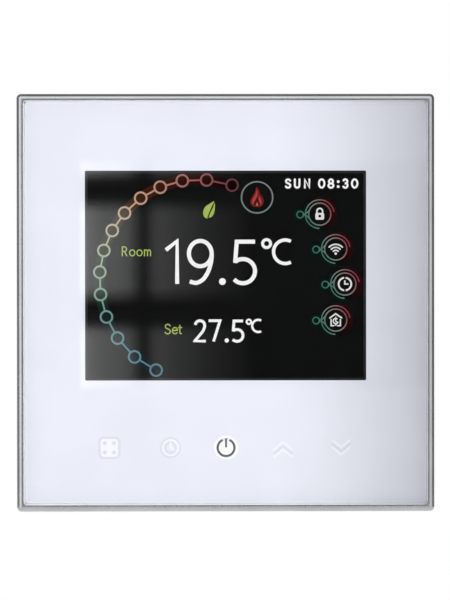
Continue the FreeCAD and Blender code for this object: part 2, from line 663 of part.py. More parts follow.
def make_clock_backup_cell():
    cell_front = f"{BOARD_BACK} + holder_gap"
    cell = rod("clock_backup_cell", "coin_x", cell_front, "coin_z", "coin_radius", "coin_thick")
    keep(cell, "clock_backup_cell")
    ring = rod("holder_ring", "coin_x", BOARD_BACK, "coin_z", "holder_radius", "holder_deep")
    well = rod("holder_well", "coin_x", BOARD_BACK, "coin_z", "coin_radius + holder_gap", "holder_deep")
    mouth = block("holder_mouth", "coin_x", BOARD_BACK, "coin_z - holder_radius",
                  "holder_mouth", "holder_deep", "holder_radius")
    keep(cut("cell_holder", ring, fuse("holder_space", [well, mouth])), "cell_holder")


def make_room_sensor():
    """A bead thermistor on two legs, beside the lower vents."""
    bead = document.addObject("Part::Sphere", "sensor_bead")
    bind(bead, "Radius", "sensor_radius")
    place(bead, "sensor_x", f"{BOARD_BACK} + 1.2*sensor_radius", "sensor_z")
    legs = [
        rod(f"sensor_leg_{number}", f"sensor_x + {side}*sensor_leg_pitch/2", BOARD_BACK, "sensor_z",
            "sensor_leg", "1.2*sensor_radius")
        for number, side in enumerate((-1, 1))
    ]
    keep(fuse("room_sensor", [bead] + legs), "room_sensor")


def header_pins(name, side):
    return group(name, [
        block(f"{name}_{number}", x, "pin_front", z, side, "pin_back - pin_front", side)
        for number, (x, z) in enumerate(header_places())
    ])


def make_panel_header():
    keep(header_pins("panel_header_pins", "pin_side"), "panel_header_pins")
    wide = "header_poles*header_pitch"
    blank = block("header_blank", "0", BOARD_BACK, "header_z", wide, "header_deep", "header_tall")
    keep(cut("panel_header_body", blank, header_pins("header_pin_slots", "pin_side")), "panel_header_body")


# ---- front unit: back cover and screws ----

def make_panel_back_cover():
    """The moulded cover: vents over the board, an opening for the socket and room for the plate's lugs."""
    body = new_body("panel_back_cover")
    outline = rectangle("0", "0", "cover_side", "cover_side", "glass_corner")
    pad(body, "sheet", "cover_front", COVER_BACK, [outline])
    socket_wide = "header_poles*header_pitch + 4*socket_gap"
    openings = [rectangle("0", "header_z", socket_wide, "socket_tall + 2*socket_gap")]
    for number in range(int(value("cover_slot_count"))):
        level = f"cover_slot_z + {number}*cover_slot_pitch"
        openings.append(slot("0", level, "cover_slot_wide", "cover_slot_radius"))
    notch_tall = "cover_side - plate_side + 4*plate_thick"
    notch_wide = "lug_wide + 2*socket_gap"
    openings += [
        rectangle(x, z, notch_wide, notch_tall) for x, z in corners_at("lug_x", "(cover_side/2)")
    ]
    pocket(body, "openings", "cover_front", COVER_BACK, openings)
    holes = [circle(x, z, "screw_shank + screw_play") for x, z in corners_at("corner_boss", "corner_boss")]
    pocket(body, "screw_holes", "cover_front", COVER_BACK, holes)
    seats = [circle(x, z, "screw_head + screw_play") for x, z in corners_at("corner_boss", "corner_boss")]
    pocket(body, "head_seats", f"{COVER_BACK} - screw_head_thick", COVER_BACK, seats)
    keep(body, "panel_back_cover")


def make_front_screws():
    screw_group("panel_cover_screws", COVER_BACK, "cover_screw_length - cover_thick",
                corners_at("corner_boss", "corner_boss"))
    screw_group("board_screws", f"{BOARD_BACK} + screw_head_thick", "board_screw_length - 4*screw_play",
                corners_at("side_boss_x", "side_boss_z"))


# ---- rear unit: mounting plate ----

def make_mounting_plate():
    """Pressed steel: a flat ring on the wall, a raised middle and four lugs bent to the front."""
    body = new_body("plate_pressing")
    pad(body, "sheet", "-plate_thick", "0", [rectangle("0", "0", "plate_side", "plate_side", "plate_corner")])
    outer_wide, outer_tall = "emboss_wide + 2*emboss_wall", "emboss_tall + 2*emboss_wall"
    raised = rectangle("0", "0", outer_wide, outer_tall, "emboss_wall")
    pad(body, "raised_middle", PLATE_FACE, "-plate_thick", [raised])
    hollow = rectangle("0", "0", "emboss_wide", "emboss_tall", "emboss_wall")
    pocket(body, "hollow", "-emboss_step", "0", [hollow])
    window = rectangle("0", "0", "plate_window_wide", "plate_window_tall", "plate_corner")
    pocket(body, "window", PLATE_FACE, "-emboss_step", [window])
    pocket(body, "wall_screw_slots", "-plate_thick", "0", [
        slot(f"{side}*wall_screw_spacing/2", "0", "slot_length", "slot_radius") for side in (-1, 1)
    ])
    return body


def plate_lug(number, side, level):
    """One lug with the window that the bezel's catch faces."""
    z = f"{level}*(plate_side/2 - plate_thick/2)"
    tongue = block(f"lug_{number}", f"{side}*lug_x", "-plate_thick - lug_deep", z, "lug_wide", "lug_deep",
                   "plate_thick")
    window = block(f"lug_window_{number}", f"{side}*lug_x", "catch_back - 1.5*catch_thick", z, "lug_window",
                   "2*catch_thick", "2*plate_thick")
    return cut(f"pierced_lug_{number}", tongue, window)


def plate_screw(name, x, z):
    """A countersunk screw driven from the front into the power box's post."""
    head = cone(f"{name}_head", x, PLATE_FACE, z, "plate_screw_head", "plate_screw_shank", "plate_thick")
    shank = rod(f"{name}_shank", x, "-emboss_step", z, "plate_screw_shank", "plate_screw_length")
    return cut(name, fuse(f"{name}_blank", [head, shank]), cross_recess(name, x, PLATE_FACE, z))


def make_plate_and_screws():
    lugs = [plate_lug(number, side, level) for number, (side, level) in enumerate(CORNERS, start=1)]
    steel = fuse("plate_with_lugs", [make_mounting_plate()] + lugs)
    places = corners_at("plate_screw_x", "plate_screw_z")
    seats = [
        cone(f"plate_seat_{number}", x, PLATE_FACE, z, "plate_screw_head + screw_play",
             "plate_screw_shank + screw_play", "plate_thick")
        for number, (x, z) in enumerate(places)
    ]
    keep(cut("mounting_plate", steel, group("plate_seats", seats)), "mounting_plate")
    screws = []
    for number, (x, z) in enumerate(places, start=1):
        screws.append(plate_screw(f"plate_screw_{number}", x, z))
    keep(group("plate_screws", screws), "plate_screws")


# ---- rear unit: power box ----

def terminal_legs(name, play):
    """The six legs that run from the terminal bars to the power board, or the holes for them."""
    return group(name, [
        block(f"{name}_{pole}", pole_x(pole), "leg_front", "leg_z",
              f"bar_wide + 2*{play}", "bar_front - leg_front", f"leg_thick + 2*{play}")
        for pole in POLES
    ])


def pole_x(pole):
    return f"({pole} - 2.5)*terminal_pitch"


def plate_screw_holes():
    radius = "plate_screw_shank + screw_play"
    return [circle(x, z, radius) for x, z in corners_at("plate_screw_x", "plate_screw_z")]


def make_power_box():
    """A moulded box, deep above the terminals and shallow behind them, with four screw posts inside."""
    body = new_body("box_moulding")
    pad(body, "shallow", BOX_FRONT, "step_back", [rectangle("0", "0", "box_wide", "box_tall", "box_wall")])
    deep_z, deep_tall = "(box_tall/2 + step_z)/2", "box_tall/2 - step_z"
    pad(body, "deep", "step_back", "box_back", [rectangle("0", deep_z, "box_wide", deep_tall, "box_wall/2")])
    pocket(body, "inside", BOX_FRONT, "step_back - box_wall", [
        rectangle("0", "0", BOX_INNER_WIDE, BOX_INNER_TALL, "box_wall/2")
    ])
    deep_space = rectangle("0", deep_z, BOX_INNER_WIDE, f"{deep_tall} - 2*box_wall", "box_wall/2")
    pocket(body, "deep_inside", "step_back - box_wall", "box_back - box_wall", [deep_space])
    vents = [
        slot("0", f"box_slot_z + {number}*box_slot_pitch", "box_slot_wide", "box_slot_radius")
        for number in range(int(value("box_slot_count")))
    ]
    pocket(body, "vents", "box_back - box_wall", "box_back", vents)
    for tag, level, floor in (("low_posts", "-1", "step_back"), ("high_posts", "1", "box_back")):
        posts = [circle(f"{side}*plate_screw_x", f"{level}*plate_screw_z", "post_radius") for side in (-1, 1)]
        pad(body, tag, "lid_thick", f"{floor} - box_wall", posts)
    pocket(body, "pilots", "lid_thick", "plate_screw_length", plate_screw_holes())
    keep(cut("power_box", body, terminal_legs("box_leg_slots", "leg_play")), "power_box")


def make_power_box_lid():
    body = new_body("power_box_lid")
    front = f"{BOX_FRONT} + lid_gap"
    wide, tall = f"{BOX_INNER_WIDE} - 2*lid_gap", f"{BOX_INNER_TALL} - 2*lid_gap"
    pad(body, "sheet", front, "lid_thick", [rectangle("0", "0", wide, tall, "box_wall/2")])
    socket_wide = "header_poles*header_pitch + 2*socket_gap + 2*lid_gap"
    pocket(body, "socket_opening", front, "lid_thick", [
        rectangle("0", "header_z", socket_wide, "socket_tall + 2*lid_gap")
    ])
    pocket(body, "screw_holes", front, "lid_thick", plate_screw_holes())
    keep(body, "power_box_lid")


def make_power_board():
    body = new_body("power_board_sheet")
    wide, tall = f"{BOX_INNER_WIDE} - 2*fit_gap", f"{BOX_INNER_TALL} - 2*fit_gap"
    pad(body, "sheet", "power_board_front", POWER_BOARD_BACK, [rectangle("0", "0", wide, tall)])
    x, z = f"(({wide})/2 - power_board_notch/2)", f"(({tall})/2 - power_board_notch/2)"
    notches = [rectangle(cx, cz, "power_board_notch", "power_board_notch") for cx, cz in corners_at(x, z)]
    pocket(body, "notches", "power_board_front", POWER_BOARD_BACK, notches)
    keep(cut("power_board", body, terminal_legs("board_leg_slots", "leg_play")), "power_board")


def make_socket_housing():
    """The socket that the front unit's pins enter."""
    body = new_body("socket_housing")
    wide = "header_poles*header_pitch + 2*socket_gap"
    outline = rectangle("0", "header_z", wide, "socket_tall", "glass_corner")
    pad(body, "block", "socket_front", "power_board_front", [outline])
    ways = [circle(x, z, "pin_hole") for x, z in header_places()]
    pocket(body, "ways", "socket_front", "pin_back + socket_gap/2", ways)
    keep(body, "socket_housing")


# ---- rear unit: relay ----

def make_relay_shell():
    base_wide, base_tall = "relay_wide - 2*relay_wall - 2*lid_gap", "relay_tall - 2*relay_wall - 2*lid_gap"
    base = block("relay_base", "relay_x", POWER_BOARD_BACK, "relay_z",
                 base_wide, "relay_base_thick", base_tall)
    keep(base, "relay_base")
    body = new_body("relay_case")
    pad(body, "block", POWER_BOARD_BACK, "relay_back", [
        rectangle("relay_x", "relay_z", "relay_wide", "relay_tall", "relay_wall")
    ])
    pocket(body, "inside", POWER_BOARD_BACK, "relay_back - relay_wall", [
        rectangle("relay_x", "relay_z", "relay_wide - 2*relay_wall", "relay_tall - 2*relay_wall")
    ])
    keep(body, "relay_case")


def rod_along_x(name, left, right, radius):
    return rod(name, left, "coil_y", "relay_z", radius, f"{right} - ({left})", MAKE_AXIS_X)


def make_relay_coil():
    """The wound bobbin, hollow for the core."""
    winding = rod_along_x("coil_winding", "coil_left", "coil_right", "coil_radius")
    ends = (("coil_left", "coil_left + flange_thick"), ("coil_right - flange_thick", "coil_right"))
    flanges = [
        rod_along_x(f"coil_flange_{number}", left, right, "flange_radius")
        for number, (left, right) in enumerate(ends, start=1)
    ]
    wound = fuse("coil_blank", [winding] + flanges)
    bore = rod_along_x("coil_bore", "coil_left", "coil_right", "core_radius + lid_gap")
    keep(cut("relay_coil", wound, bore), "relay_coil")


def make_relay_yoke():
    """The iron circuit: core, pole face, foot and the arm that the armature pivots on."""
    core = rod_along_x("iron_core", "yoke_left", "pole_x", "core_radius")
    pole = rod_along_x("pole_face", "pole_x - pole_thick", "pole_x", "pole_radius")
    foot = block("yoke_foot_leg", "yoke_left + yoke_thick/2", "yoke_foot", "relay_z", "yoke_thick",
                 "yoke_y + yoke_thick - yoke_foot", "yoke_tall")
    arm = block("yoke_arm", "(yoke_left + yoke_right)/2", "yoke_y", "relay_z", "yoke_right - yoke_left",
                "yoke_thick", "yoke_tall")
    keep(fuse("relay_yoke", [core, pole, foot, arm]), "relay_yoke")


def make_relay_armature():
    """The rocker: an iron plate before the pole, a pivot pin along Z and a contact arm beyond it."""
    plate = block("armature_plate", "armature_x + armature_thick/2", "armature_front", "relay_z",
                  "armature_thick", "arm_y + arm_thick - armature_front", "armature_tall")
    arm = block("contact_arm", "(armature_x + arm_right)/2", "arm_y", "relay_z", "arm_right - armature_x",
                "arm_thick", "arm_tall")
    button = rod("moving_button", "contact_x", "arm_y - contact_thick", "relay_z",
                 "contact_radius", "contact_thick")
    pin = rod("armature_pivot", "armature_x + armature_thick/2", "yoke_y + yoke_thick/2",
              "relay_z - pivot_tall/2", "pivot_radius", "pivot_tall", Rotation())
    keep(fuse("relay_armature", [plate, arm, button, pin]), "relay_armature")


def make_relay_fixed_contact():
    post_front = f"{POWER_BOARD_BACK} + relay_base_thick"
    post_back = "arm_y - contact_gap - 2*contact_thick"
    button = rod("fixed_button", "contact_x", post_back, "relay_z", "contact_radius", "contact_thick")
    post = block("contact_post", "contact_x", post_front, "relay_z",
                 "post_thick", f"{post_back} - ({post_front})", "post_tall")
    keep(fuse("relay_fixed_contact", [button, post]), "relay_fixed_contact")


# ---- rear unit: other parts on the power board ----

def make_transformer():
    front = f"{POWER_BOARD_BACK} + can_rim"
    window_wide = "(core_wide - 2*core_leg - core_centre)/2"
    offset = f"(core_centre/2 + ({window_wide})/2)"
    yoke_deep = "(core_deep - 2*core_leg)"
    ferrite = block("ferrite", "core_x", front, "core_z", "core_wide", "core_deep", "core_tall")
    windows = [
        block(f"core_window_{side + 1}", f"core_x + {side}*{offset}", f"{front} + core_leg", "core_z",
              window_wide, yoke_deep, "2*core_tall")
        for side in (-1, 1)
    ]
    keep(cut("transformer_core", ferrite, group("core_windows", windows)), "transformer_core")
    body = new_body("transformer_winding")
    sleeve_front = f"{front} + core_leg + lid_gap"
    outer = rectangle("core_x", "core_z", "winding_wide", "winding_tall", "winding_round")
    hole = rectangle("core_x", "core_z", "core_centre + 2*lid_gap", "core_tall + 2*lid_gap")
    pad(body, "sleeve", sleeve_front, f"{sleeve_front} + {yoke_deep} - 2*lid_gap", [outer, hole])
    keep(body, "transformer_winding")


def make_filter_capacitors():
    """Two cans with a rolled groove near the board."""
    cans = []
    for size in ("tall_can", "low_can"):
        x, z, radius, deep = (f"{size}_{field}" for field in ("x", "z", "radius", "deep"))
        foot = rod(f"{size}_foot", x, POWER_BOARD_BACK, z, radius, "2*can_rim")
        neck = rod(f"{size}_neck", x, f"{POWER_BOARD_BACK} + 2*can_rim", z, f"{radius} - can_rim", "can_rim")
        can = rod(f"{size}_can", x, f"{POWER_BOARD_BACK} + 3*can_rim", z, radius, f"{deep} - 3*can_rim")
        cans.append(fuse(f"{size}_whole", [foot, neck, can]))
    keep(group("filter_capacitors", cans), "filter_capacitors")


def make_varistor():
    centre_y = f"{POWER_BOARD_BACK} + disc_radius + can_rim"
    disc = rod("varistor_disc", "disc_x - disc_thick/2", centre_y, "disc_z",
               "disc_radius", "disc_thick", MAKE_AXIS_X)
    legs = [
        rod(f"varistor_leg_{side + 1}", "disc_x", POWER_BOARD_BACK, f"disc_z + {side}*disc_radius/2",
            "can_rim", "disc_radius")
        for side in (-1, 1)
    ]
    keep(fuse("varistor", [disc] + legs), "varistor")


def make_fuse():
    """A cartridge between two clips, along Z."""
    upright = Rotation()
    low = "fuse_z - fuse_length/2"
    barrel = rod("fuse_barrel", "fuse_x", "fuse_y", low, "fuse_radius", "fuse_length", upright)
    caps = [
        rod(f"fuse_cap_{number}", "fuse_x", "fuse_y", start, "fuse_cap_radius", "fuse_cap_length", upright)
        for number, start in enumerate((low, "fuse_z + fuse_length/2 - fuse_cap_length"))
    ]
    feet = [
        block(f"fuse_foot_{side + 1}", "fuse_x", POWER_BOARD_BACK,
              f"fuse_z + {side}*(fuse_length - fuse_cap_length)/2",
              "2*fuse_radius", f"fuse_y - ({POWER_BOARD_BACK})", "fuse_foot")
        for side in (-1, 1)
    ]
    keep(fuse("fuse", [barrel] + caps + feet), "fuse")


def make_power_blocks():
    for name in POWER_BLOCKS:
        keep(chip(name, POWER_BOARD_BACK), name)


# ---- rear unit: terminal block ----

def make_terminal_housing():
    tall = "terminal_top - terminal_low"
    blank = block("terminal_blank", "0", "step_back", "(terminal_top + terminal_low)/2", "terminal_wide",
                  "box_back - step_back", tall)
    cuts = [terminal_legs("housing_leg_slots", "leg_play")]
    for pole in POLES:
        x = pole_x(pole)
        cuts.append(block(f"cavity_{pole}", x, "cavity_front", "terminal_z",
                          "cavity_side", "cavity_back - cavity_front", "cavity_side"))
        cuts.append(rod(f"driver_hole_{pole}", x, "shelf_back", "terminal_z",
                        "driver_hole", "box_back - shelf_back"))
        cuts.append(rod(f"shelf_hole_{pole}", x, "cavity_back", "terminal_z",
                        "shelf_hole", "shelf_back - cavity_back"))
        cuts.append(block(f"entry_{pole}", x, "entry_front", "(terminal_low + terminal_z)/2",
                          "entry_wide", "bar_front - entry_front", "terminal_z - terminal_low"))
        cuts.append(block(f"bar_way_{pole}", x, "bar_front - leg_play", "(terminal_z + leg_z)/2",
                          "bar_wide + 2*leg_play", "bar_thick + 2*leg_play",
                          "leg_z - terminal_z + leg_thick + 2*leg_play"))
    keep(cut("terminal_housing", blank, fuse("terminal_cuts", cuts)), "terminal_housing")


def make_terminal_bars():
    """Each bar runs through its cage and turns down to the board."""
    bars = []
    for pole in POLES:
        x = pole_x(pole)
        top = "(leg_z + leg_thick/2)"
        bar = block(f"bar_{pole}", x, "bar_front", f"({top} + bar_low)/2",
                    "bar_wide", "bar_thick", f"{top} - bar_low")
        leg = block(f"leg_{pole}", x, "leg_front", "leg_z",
                    "bar_wide", "bar_front - leg_front", "leg_thick")
        bars.append(fuse(f"terminal_bar_{pole}", [bar, leg]))
    keep(group("terminal_bars", bars), "terminal_bars")


def make_terminal_screw(pole):
    name = f"terminal_screw_{pole + 1}"
    x = pole_x(pole)
    shank = rod(f"{name}_shank", x, "terminal_shank_front", "terminal_z", "terminal_shank",
                "terminal_head_front - terminal_shank_front")
    head = rod(f"{name}_head", x, "terminal_head_front", "terminal_z", "terminal_head", "terminal_head_thick")
    slot_front = "terminal_head_front + terminal_head_thick - driver_slot_deep"
    groove = block(f"{name}_groove", x, slot_front, "terminal_z",
                   "2*terminal_head", "driver_slot_deep", "driver_slot")
    keep(cut(name, fuse(f"{name}_blank", [shank, head]), groove), name)


def make_terminal_cage(pole):
    """A square clamp that climbs the screw and lifts the wire against its bar."""
    name = f"terminal_cage_{pole + 1}"
    x = pole_x(pole)
    deep = "cage_floor + cage_window + cage_top"
    blank = block(f"{name}_blank", x, "cage_front", "terminal_z", "cage_side", deep, "cage_side")
    window = block(f"{name}_window", x, "cage_front + cage_floor", "terminal_z",
                   "cage_window_wide", "cage_window", "2*cage_side")
    thread = rod(f"{name}_thread", x, "cage_front + cage_floor + cage_window", "terminal_z",
                 "terminal_shank + thread_play", "cage_top")
    keep(cut(name, blank, fuse(f"{name}_space", [window, thread])), name)


def make_terminals():
    make_terminal_housing()
    make_terminal_bars()
    for pole in POLES:
        make_terminal_screw(pole)
        make_terminal_cage(pole)


# ---- the whole thermostat ----

def make_front_unit():
    make_front_glass()
    make_printed_mask()
    make_glass_tape()
    make_bezel_frame()
    make_display_gasket()
    make_lcd_cell()
    make_lcd_backlight()
    make_display_bracket()
    make_lcd_flex_cable()
    make_touch_springs()
    make_key_light_guide()
    make_key_leds()
    make_control_board()
    make_control_chips()
    make_wifi_shield_can()
    make_clock_backup_cell()
    make_room_sensor()
    make_panel_header()
    make_panel_back_cover()
    make_front_screws()


def make_rear_unit():
    make_plate_and_screws()
    make_power_box()
    make_power_box_lid()
    make_power_board()
    make_socket_housing()
    make_relay_shell()
    make_relay_coil()
    make_relay_yoke()
    make_relay_armature()
    make_relay_fixed_contact()
    make_transformer()
    make_filter_capacitors()
    make_varistor()
    make_fuse()
    make_power_blocks()
    make_terminals()


def check_document():
    """Stops before anything is written if an object failed or a sub-part has no sound shape."""
    for thing in document.Objects:
        if {"Invalid", "Error"} & set(thing.State):
            raise RuntimeError(f"{thing.Label} failed: {thing.State}")
    for thing in sub_parts:
        if thing.Shape.isNull() or not thing.Shape.isValid():
            raise RuntimeError(f"{thing.Label} has no valid shape")


def write_parts():
    os.makedirs("parts", exist_ok=True)
    for thing in sub_parts:
        thing.Shape.exportStep(f"parts/{thing.Label}.step")
    print(f"{len(sub_parts)} sub-parts written")


fill_sheet()
make_front_unit()
make_rear_unit()
document.recompute()
check_document()
write_parts()
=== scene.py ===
"""Looks of the wall thermostat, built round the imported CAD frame.

Blender lengths are metres. Sizes here are millimetres of the object unless they say so.
"""

import math

import bmesh
import bpy
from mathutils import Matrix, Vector


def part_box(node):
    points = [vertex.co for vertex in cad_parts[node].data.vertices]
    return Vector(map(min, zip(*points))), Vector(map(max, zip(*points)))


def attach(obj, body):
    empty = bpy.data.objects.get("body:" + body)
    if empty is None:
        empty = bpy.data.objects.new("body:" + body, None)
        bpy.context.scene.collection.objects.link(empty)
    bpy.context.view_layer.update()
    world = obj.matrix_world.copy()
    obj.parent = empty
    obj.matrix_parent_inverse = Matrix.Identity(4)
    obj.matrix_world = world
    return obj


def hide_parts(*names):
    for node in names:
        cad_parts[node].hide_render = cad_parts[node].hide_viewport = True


MM = 0.001

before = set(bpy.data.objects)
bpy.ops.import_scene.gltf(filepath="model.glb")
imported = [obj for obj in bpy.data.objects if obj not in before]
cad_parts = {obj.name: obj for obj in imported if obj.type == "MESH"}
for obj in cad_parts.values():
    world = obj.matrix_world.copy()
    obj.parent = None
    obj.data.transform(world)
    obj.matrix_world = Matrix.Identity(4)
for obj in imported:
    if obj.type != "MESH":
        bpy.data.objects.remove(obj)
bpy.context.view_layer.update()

FRONT = "front_panel"
FULL_TURN = 2 * math.pi
# A wave texture at this scale repeats once per unit of its coordinates.
WAVE_SCALE = math.pi / 10


def corners_mm(node):
    """Lowest and highest corner of a CAD node in millimetres."""
    low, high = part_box(node)
    return low / MM, high / MM


# ---------------------------------------------------------------- finishes


class Nodes:
    """A node tree being built."""

    def __init__(self, tree):
        self.tree = tree
        self.tree.nodes.clear()

    def node(self, kind, **settings):
        made = self.tree.nodes.new(kind)
        for key, value in settings.items():
            setattr(made, key, value)
        return made

    def feed(self, socket, value):
        if isinstance(value, bpy.types.NodeSocket):
            self.tree.links.new(value, socket)
        elif socket.type == "RGBA" and len(value) == 3:
            socket.default_value = (*value, 1.0)
        else:
            socket.default_value = value

    def maths(self, operation, *values, clamp=False):
        made = self.node("ShaderNodeMath", operation=operation, use_clamp=clamp)
        for socket, value in zip(made.inputs, values):
            self.feed(socket, value)
        return made.outputs[0]

    def spread(self, value, low, high, start=0.0, end=1.0):
        """Maps start..end of value to low..high, smoothly and clamped."""
        made = self.node("ShaderNodeMapRange", interpolation_type="SMOOTHSTEP")
        for name, number in (("Value", value), ("From Min", start), ("From Max", end)):
            self.feed(made.inputs[name], number)
        self.feed(made.inputs["To Min"], low)
        self.feed(made.inputs["To Max"], high)
        return made.outputs[0]

    def ramp(self, value, stops):
        """Colour read from these (place from 0 to 1, colour) stops."""
        made = self.node("ShaderNodeValToRGB")
        self.feed(made.inputs[0], value)
        band = made.color_ramp
        while len(band.elements) < len(stops):
            band.elements.new(0.5)
        for element, (place, colour) in zip(band.elements, stops):
            element.position = place
            element.color = (*colour, 1.0)
        return made.outputs[0]

    def mix(self, share, first, second):
        made = self.node("ShaderNodeMix", data_type="RGBA")
        self.feed(made.inputs[0], share)
        self.feed(made.inputs[6], first)
        self.feed(made.inputs[7], second)
        return made.outputs[2]


class Finish(Nodes):
    """A procedural material being built. Pattern sizes are in millimetres of the object."""

    def __init__(self, name):
        self.material = bpy.data.materials.new(name)
        self.material.use_nodes = True
        super().__init__(self.material.node_tree)
        self.output = self.node("ShaderNodeOutputMaterial")
        self.place = self.node("ShaderNodeTexCoord").outputs["Object"]

    def scaled(self, period, stretch=(1, 1, 1), turn=(0, 0, 0)):
        """Object coordinates in units of the pattern's own period."""
        mapping = self.node("ShaderNodeMapping")
        self.feed(mapping.inputs["Vector"], self.place)
        mapping.inputs["Scale"].default_value = [1 / (period * MM * s) for s in stretch]
        mapping.inputs["Rotation"].default_value = [math.radians(t) for t in turn]
        return mapping.outputs[0]

    def pattern(self, kind, period, stretch=(1, 1, 1), scale=1.0, **settings):
        texture = self.node(kind, **settings)
        self.feed(texture.inputs["Vector"], self.scaled(period, stretch))
        texture.inputs["Scale"].default_value = scale
        return texture

    def noise(self, period, detail=3.0, rough=0.5, stretch=(1, 1, 1)):
        texture = self.pattern("ShaderNodeTexNoise", period, stretch)
        texture.inputs["Detail"].default_value = detail
        texture.inputs["Roughness"].default_value = rough
        return texture.outputs[0]

    def cells(self, period, feature="F1", output="Distance"):
        return self.pattern("ShaderNodeTexVoronoi", period, feature=feature).outputs[output]

    def waves(self, period, axis, distortion=0.0):
        bands = {"wave_type": "BANDS", "bands_direction": axis}
        texture = self.pattern("ShaderNodeTexWave", period, scale=WAVE_SCALE, **bands)
        texture.inputs["Distortion"].default_value = distortion
        return texture.outputs[1]

    def along(self, axis):
        """One object coordinate, in millimetres."""
        split = self.node("ShaderNodeSeparateXYZ")
        self.feed(split.inputs[0], self.place)
        return self.maths("DIVIDE", split.outputs["XYZ".index(axis)], MM)

    def from_middle(self):
        """Distance from the middle of the front, measured square, in millimetres."""
        return self.maths("MAXIMUM", *(self.maths("ABSOLUTE", self.along(axis)) for axis in "XZ"))

    def bump(self, height, depth, under=None):
        """Surface relief of this depth in millimetres."""
        made = self.node("ShaderNodeBump")
        made.inputs["Strength"].default_value = 1.0
        made.inputs["Distance"].default_value = depth * MM
        self.feed(made.inputs["Height"], height)
        if under is not None:
            self.feed(made.inputs["Normal"], under)
        return made.outputs[0]

    def shader(self, colour, rough, normal=None, **more):
        made = self.node("ShaderNodeBsdfPrincipled")
        self.feed(made.inputs["Base Color"], colour)
        self.feed(made.inputs["Roughness"], rough)
        if normal is not None:
            self.feed(made.inputs["Normal"], normal)
        for name, value in more.items():
            self.feed(made.inputs[name.replace("_", " ")], value)
        return made.outputs[0]

    def done(self, shader):
        self.feed(self.output.inputs["Surface"], shader)
        return self.material

    def glowing(self, colour, strength=1.0):
        """The finished material, lit in this colour."""
        glow = self.node("ShaderNodeEmission")
        self.feed(glow.inputs["Color"], colour)
        glow.inputs["Strength"].default_value = strength
        return self.done(glow.outputs[0])

    def steady(self, value, low, high):
        """A pattern's usual range, 0.3 to 0.7, mapped to low..high."""
        return self.spread(value, low, high, 0.3, 0.7)


def shade(colour, share):
    return tuple(min(1.0, channel * share) for channel in colour)


def moulded(name, colour, rough=0.45, grain=0.35, depth=0.01, drift=0.05, **more):
    """Moulded plastic: spark-eroded grain, slow colour drift and flow marks in the gloss."""
    f = Finish(name)
    fine = f.noise(grain, 4, 0.6)
    slow = f.noise(26, 2)
    flow = f.noise(9, 3, 0.5, (1, 1, 4))
    tint = f.mix(f.steady(slow, 0, 1), shade(colour, 1 - drift), shade(colour, 1 + drift / 2))
    tint = f.mix(f.spread(fine, 0.0, 0.35, 0.45, 0.75), tint, shade(colour, 1 - 2 * drift))
    gloss = f.maths("ADD", f.steady(fine, rough - 0.05, rough + 0.05), f.steady(flow, -0.04, 0.04))
    return f.done(f.shader(tint, gloss, f.bump(fine, depth), **more))


def metal(name, colour, rough=0.3, brush=(1, 1, 1), period=0.12, depth=0.003, stain=0.06):
    """Worked metal: directional tool marks, faint stains and uneven polish."""
    f = Finish(name)
    lines = f.noise(period, 5, 0.65, brush)
    blotch = f.noise(5, 4, 0.6)
    tint = f.mix(f.spread(blotch, 0, 1, 0.35, 0.7), shade(colour, 1 + stain), shade(colour, 1 - stain))
    gloss = f.maths("ADD", f.steady(lines, rough - 0.07, rough + 0.07), f.steady(blotch, -0.04, 0.05))
    return f.done(f.shader(tint, gloss, f.bump(lines, depth), Metallic=1.0))


def galvanised(name, colour, spangle=3.2, rough=0.36):
    """Zinc-coated sheet: crystals of different shade and gloss, with fine rolling lines over them."""
    f = Finish(name)
    grey = f.node("ShaderNodeRGBToBW")
    f.feed(grey.inputs[0], f.cells(spangle, output="Color"))
    crystal = grey.outputs[0]
    edge = f.cells(spangle, feature="DISTANCE_TO_EDGE")
    lines = f.noise(0.1, 4, 0.6, (1, 1, 14))
    tint = f.mix(crystal, shade(colour, 0.82), shade(colour, 1.12))
    tint = f.mix(f.spread(edge, 0.35, 0.0, 0.0, 0.08), tint, shade(colour, 0.7))
    gloss = f.maths("ADD", f.spread(crystal, rough - 0.08, rough + 0.12), f.steady(lines, -0.05, 0.05))
    relief = f.bump(lines, 0.002, under=f.bump(crystal, 0.006))
    return f.done(f.shader(tint, gloss, relief, Metallic=0.9))


TRACKS = {"Scale": 1.0, "Mortar Size": 0.055, "Mortar Smooth": 0.15, "Brick Width": 1.35, "Row Height": 0.42}


def circuit_board(name, mask, period):
    """Copper tracks raised under the solder mask, tinned pads and vias, and a glossy lacquer; the inside of
    each via is a near-black dot of painted shade.
    """
    f = Finish(name)
    brick = f.node("ShaderNodeTexBrick", offset=0.37, squash=0.6, squash_frequency=3)
    f.feed(brick.inputs["Vector"], f.scaled(period, turn=(90, 0, 0)))
    for key, value in TRACKS.items():
        brick.inputs[key].default_value = value
    pour = f.spread(f.noise(11, 1), 0, 1, 0.50, 0.515)
    copper = f.maths("MAXIMUM", brick.outputs["Fac"], pour)
    spots = f.cells(period * 0.9)
    via = f.spread(spots, 1, 0, 0.12, 0.135)
    # Painted shade: a near-black dot in the middle of each via stands in for its open bore.
    shaded_hole = f.spread(spots, 1, 0, 0.055, 0.065)
    tint = f.mix(copper, shade(mask, 0.62), mask)
    tint = f.mix(via, tint, (0.62, 0.60, 0.55))
    tint = f.mix(shaded_hole, tint, (0.03, 0.03, 0.03))
    tinned = f.maths("SUBTRACT", via, shaded_hole, clamp=True)
    weave = f.waves(0.5, "X")
    relief = f.bump(copper, 0.035, under=f.bump(weave, 0.002))
    gloss = f.steady(f.noise(2.5, 3), 0.24, 0.4)
    return f.done(f.shader(tint, gloss, relief, Metallic=tinned, Coat_Weight=0.4))


